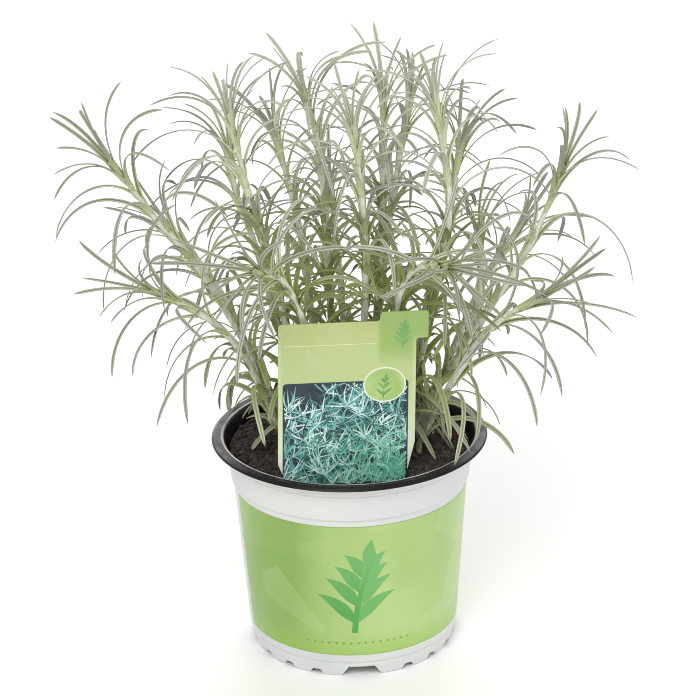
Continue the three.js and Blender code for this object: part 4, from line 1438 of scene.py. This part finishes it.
class Stem:
    """A stem's place, shoots and leaves. It keeps its leaves clear of what is taken already."""

    def __init__(self, index, taken):
        self.index, self.taken = index, taken
        self.base, route = STEMS[index]
        self.ground = soil_height(*self.base)
        self.shoots = [Shoot([(*self.base, self.ground + 3), *route], STEM_STEPS)]
        if index in SIDE_SHOOTS:
            self.shoots.append(Shoot(SIDE_SHOOTS[index], SIDE_SHOOT_STEPS))
        for shoot in self.shoots:
            taken.add(index, shoot.points, STEM_REACH)
        self.leaves = []

    def chance(self, leaf, use):
        return hashed(self.index, leaf, use)

    def try_leaf(self, shoot, order, length, reach, tries, **settings):
        """Adds a leaf at the first attempt that lies clear of the pot, the tag and the other stems."""
        for attempt in range(tries):
            leaf = leaf_line(self.index, shoot, order, length, attempt, **settings)
            line = coarse(leaf)
            if self.leaves and outside_box(leaf["line"]):
                continue
            if clear_of_pot(leaf["line"]) and self.taken.clear(self.index, line, reach):
                self.taken.add(self.index, line, reach)
                self.leaves.append(leaf)
                return

    def add_main(self, which, shoot):
        """The leaves that the solids have too."""
        for i in range(shoot.count):
            self.try_leaf(shoot, 100 * which + i, shoot.leaf_at(i), LEAF_REACH, TRIES)

    def add_between(self, which, shoot):
        """Long leaves between those of the solids, on the upper part."""
        for i in range(shoot.count - 1):
            low = i < BETWEEN_FROM * shoot.count
            if low or self.chance(i, 8) > BETWEEN_SHARE or self.index in OUTER_STEMS:
                continue
            order, length = 100 * which + i + 0.5, shoot.leaf_at(i + 0.5)
            settings = {"turn": (i + 0.5) * GOLDEN_ANGLE + 1.9, "scale": 0.96, "rise": 0.36}
            self.try_leaf(shoot, order, length, BETWEEN_REACH, BETWEEN_TRIES, **settings)

    def add_crown(self, which, shoot):
        """Upright young leaves that sheathe the tip."""
        for i in range(CROWN_LEAVES):
            vary = self.chance(i, 10 + which)
            settings = {
                "turn": i * GOLDEN_ANGLE + 0.8,
                "scale": 0.62 + 0.05 * i + 0.3 * vary,
                "rise": 0.12 + 0.04 * i,
                "bow": 0.1 + 0.16 * i + 0.9 * vary * vary,
                "hang": 0.04 * i,
            }
            length = shoot.total - 0.8 - 1.9 * i
            self.try_leaf(shoot, 300.25 + i, length, CROWN_REACH, CROWN_TRIES, **settings)

    def add_inner(self, which, shoot):
        """Shorter leaves inside the bush."""
        for i in range(2, shoot.count - 5):
            x, y, z = shoot.along(shoot.leaf_at(i))[0]
            radius = math.hypot(x, y)
            bare = BARE_HIGH if z > HIGH_FROM else BARE_HEART if radius < HEART_RADIUS else BARE_AROUND
            if radius > INNER_RADIUS or z > INNER_TOP or self.chance(i, 14) < bare:
                continue
            for j in range(3 if z > DENSE_FROM else 2):
                order = 500.4 + 3 * i + j + 150 * which
                settings = {
                    "turn": (3 * i + j) * GOLDEN_ANGLE + 0.4,
                    "scale": 0.4 + 0.45 * self.chance(order, 9),
                    "rise": 0.4 + 0.6 * self.chance(order, 11),
                    "bow": 0.6 + 1.2 * self.chance(order, 12),
                    "hang": 0.3,
                    "inner": 0.55 + 0.45 * self.chance(order, 13),
                }
                self.try_leaf(shoot, order, shoot.leaf_at(i + 0.3 * j), INNER_REACH, INNER_TRIES, **settings)


def grow():
    """Every stem with its leaves: first the ones of the solids, then more between them."""
    taken = Taken()
    stems = [Stem(index, taken) for index in range(len(STEMS))]
    for stem in stems:
        for which, shoot in enumerate(stem.shoots):
            stem.add_main(which, shoot)
    main = sum(len(stem.leaves) for stem in stems)
    for stem in stems:
        for which, shoot in enumerate(stem.shoots):
            stem.add_between(which, shoot)
            stem.add_crown(which, shoot)
            stem.add_inner(which, shoot)
    for index, *hang in HANGING:
        stems[index].leaves.append(hanging_leaf(index, stems[index].shoots[0], *hang))
    total = sum(len(stem.leaves) for stem in stems)
    print("leaves:", main, "as in the solids,", total, "in all")
    return stems


# One leaf's section from its left edge over the upper face and back under it, as shares of its half width
# and half thickness: two round lobes with a furrow between, and a midrib below.
SECTION = np.array(
    [
        (-1.0, 0.0),
        *((-0.8, 0.62), (-0.48, 0.85), (-0.14, 0.38), (0.14, 0.38), (0.48, 0.85), (0.8, 0.62)),
        (1.0, 0.0),
        *((0.8, -0.6), (0.4, -0.55), (0.0, -1.0), (-0.4, -0.55), (-0.8, -0.6)),
    ]
)
SECTION_UPPER = np.array([0.5, *[1] * 6, 0.5, *[0] * 5])
BLADE_WIDTH_SHARE = 0.88
BLADE_THICKNESS = 0.58
AGED_WIDENING = 0.75
BLADE_TAPER = 0.22
FOOT_SWELL, SWELL_LENGTH = 0.4, 0.14
TIP_LENGTH = 0.13
# How far below its start a leaf's foot reaches down the shoot, and how far each point stands off it
FOOT_REACH = np.array([6.5, 4.6, 2.8, 1.2])
FOOT_LIFT = np.array([-0.4, -0.15, 0.0, 0.08])
BLADE_FACES = tube_faces(FINE_STEPS - 1 + len(FOOT_REACH), len(SECTION))


def section_rings(line, sides, overs, section, widths, heights):
    """A section's points at each point of a line, turned by two directions and scaled by two sizes there."""
    across = sides[:, None, :] * (section[None, :, 0] * widths[:, None])[:, :, None]
    over = overs[:, None, :] * (section[None, :, 1] * heights[:, None])[:, :, None]
    return line[:, None, :] + across + over


def add_blade(build, leaf):
    """A narrow felted blade: its pale foot runs down the shoot and clasps it, and its tip is blunt."""
    line = leaf["line"].copy()
    share = np.linspace(0, 1, len(line))
    outward, direction, radius = leaf["outward"], leaf["direction"], leaf["radius"]
    foot = line[0] - FOOT_REACH[:, None] * direction + (radius + FOOT_LIFT)[:, None] * outward
    line += outward * ((radius + 0.1) * (1 - share)[:, None] ** 5)
    line = np.concatenate([foot, line])
    share = np.concatenate([-FOOT_REACH / 60, share])
    forward = unit(np.gradient(line, axis=0))
    spin = leaf["spin"]
    side = unit(spin - forward * (forward @ spin)[:, None])
    over = -np.cross(side, forward)
    twist = (leaf["twist"] * np.maximum(share, 0) ** 1.6)[:, None]
    cos, sin = np.cos(twist), np.sin(twist)
    side, over = side * cos + over * sin, over * cos - side * sin
    width = leaf["width"] * BLADE_WIDTH_SHARE * (1 + AGED_WIDENING * leaf["aged"] * (1 - leaf["inner"]))
    # A leaf is widest near its foot, blunt at its tip, and narrow where it clasps the shoot
    shape = 1 - BLADE_TAPER * share + FOOT_SWELL * np.exp(-((share / SWELL_LENGTH) ** 2))
    shape *= np.clip((1 - share) / TIP_LENGTH, 0, 1) ** 0.55 * np.clip((share + 0.125) / 0.1, 0.3, 1)
    half = width / 2 * np.maximum(shape, 0.05)
    thick = BLADE_THICKNESS / 2 * np.clip((1 - share) / 0.12, 0.15, 1) ** 0.5
    middle = slice(1, -1)
    rings = section_rings(line[middle], side[middle], over[middle], SECTION, half[middle], thick[middle])

    def spread(values, ends):
        return np.concatenate([[ends], np.tile(values, len(rings)), [ends]])

    build.add(
        np.concatenate([line[:1], rings.reshape(-1, 3), line[-1:]]),
        BLADE_FACES,
        along=np.concatenate([[0], np.repeat(np.maximum(share[middle], 0), len(SECTION)), [1]]),
        across=spread(SECTION[:, 0], 0),
        upper=spread(SECTION_UPPER, 0.5),
        tone=leaf["tone"],
        youth=leaf["young"],
        low=leaf["aged"],
        inner=leaf["inner"],
    )


def add_shoot(build, shoot, buried, phase):
    """A woolly shoot with low ridges that run down from its leaves."""
    line = curve_points(shoot.route, SHOOT_FINE_STEPS)
    share = np.linspace(0, 1, len(line))
    radius = SHOOT_SHARE * np.array([shoot_radius(s) for s in share])
    if buried is not None:
        line = np.concatenate([[buried], line])
        radius = np.concatenate([[STEM_RADIUS_LOW], radius])
        share = np.concatenate([[0], share])
    forward = unit(np.gradient(line, axis=0))
    across = unit(np.cross((0, 1, 0), forward))
    ahead = np.cross(forward, across)
    turn = np.linspace(0, 2 * math.pi, SHOOT_SIDES, endpoint=False)
    height = np.arange(len(line))[:, None]
    ridge = 1 + 0.07 * np.sin(3 * turn + height * 0.55 + phase) + 0.05 * np.sin(5 * turn - height * 0.4)
    size = (radius[:, None] * ridge)[:, :, None]
    rings = line[:, None, :] + (
        across[:, None, :] * np.cos(turn)[None, :, None] + ahead[:, None, :] * np.sin(turn)[None, :, None]
    ) * size
    points = np.concatenate([line[:1], rings.reshape(-1, 3), line[-1:] + forward[-1:] * SHOOT_TIP])
    along = np.concatenate([share[:1], np.repeat(share, SHOOT_SIDES), share[-1:]])
    build.add(points, tube_faces(len(line), SHOOT_SIDES), along=along)


def make_plant():
    foliage, wool = foliage_surface(), stem_surface()
    for index, stem in enumerate(grow()):
        name = f"{index + 1:02d}"
        leaves = Build(LEAF_KEYS)
        for leaf in stem.leaves:
            add_blade(leaves, leaf)
        leaves.finish(f"curry_leaves_{name}", [foliage], "foliage", replaced=[f"leafy_stem_{name}"])
        shoots = Build(["along"])
        add_shoot(shoots, stem.shoots[0], np.array([*stem.base, stem.ground - STEM_DEPTH]), index)
        for shoot in stem.shoots[1:]:
            add_shoot(shoots, shoot, None, index + 2)
        shoots.finish(f"curry_shoot_{name}", [wool], "foliage")


make_camera()
make_studio()
make_pot()
make_pot_print()
make_soil()
make_tag()
make_picture()
make_badge()
make_tag_marks()
make_plant()
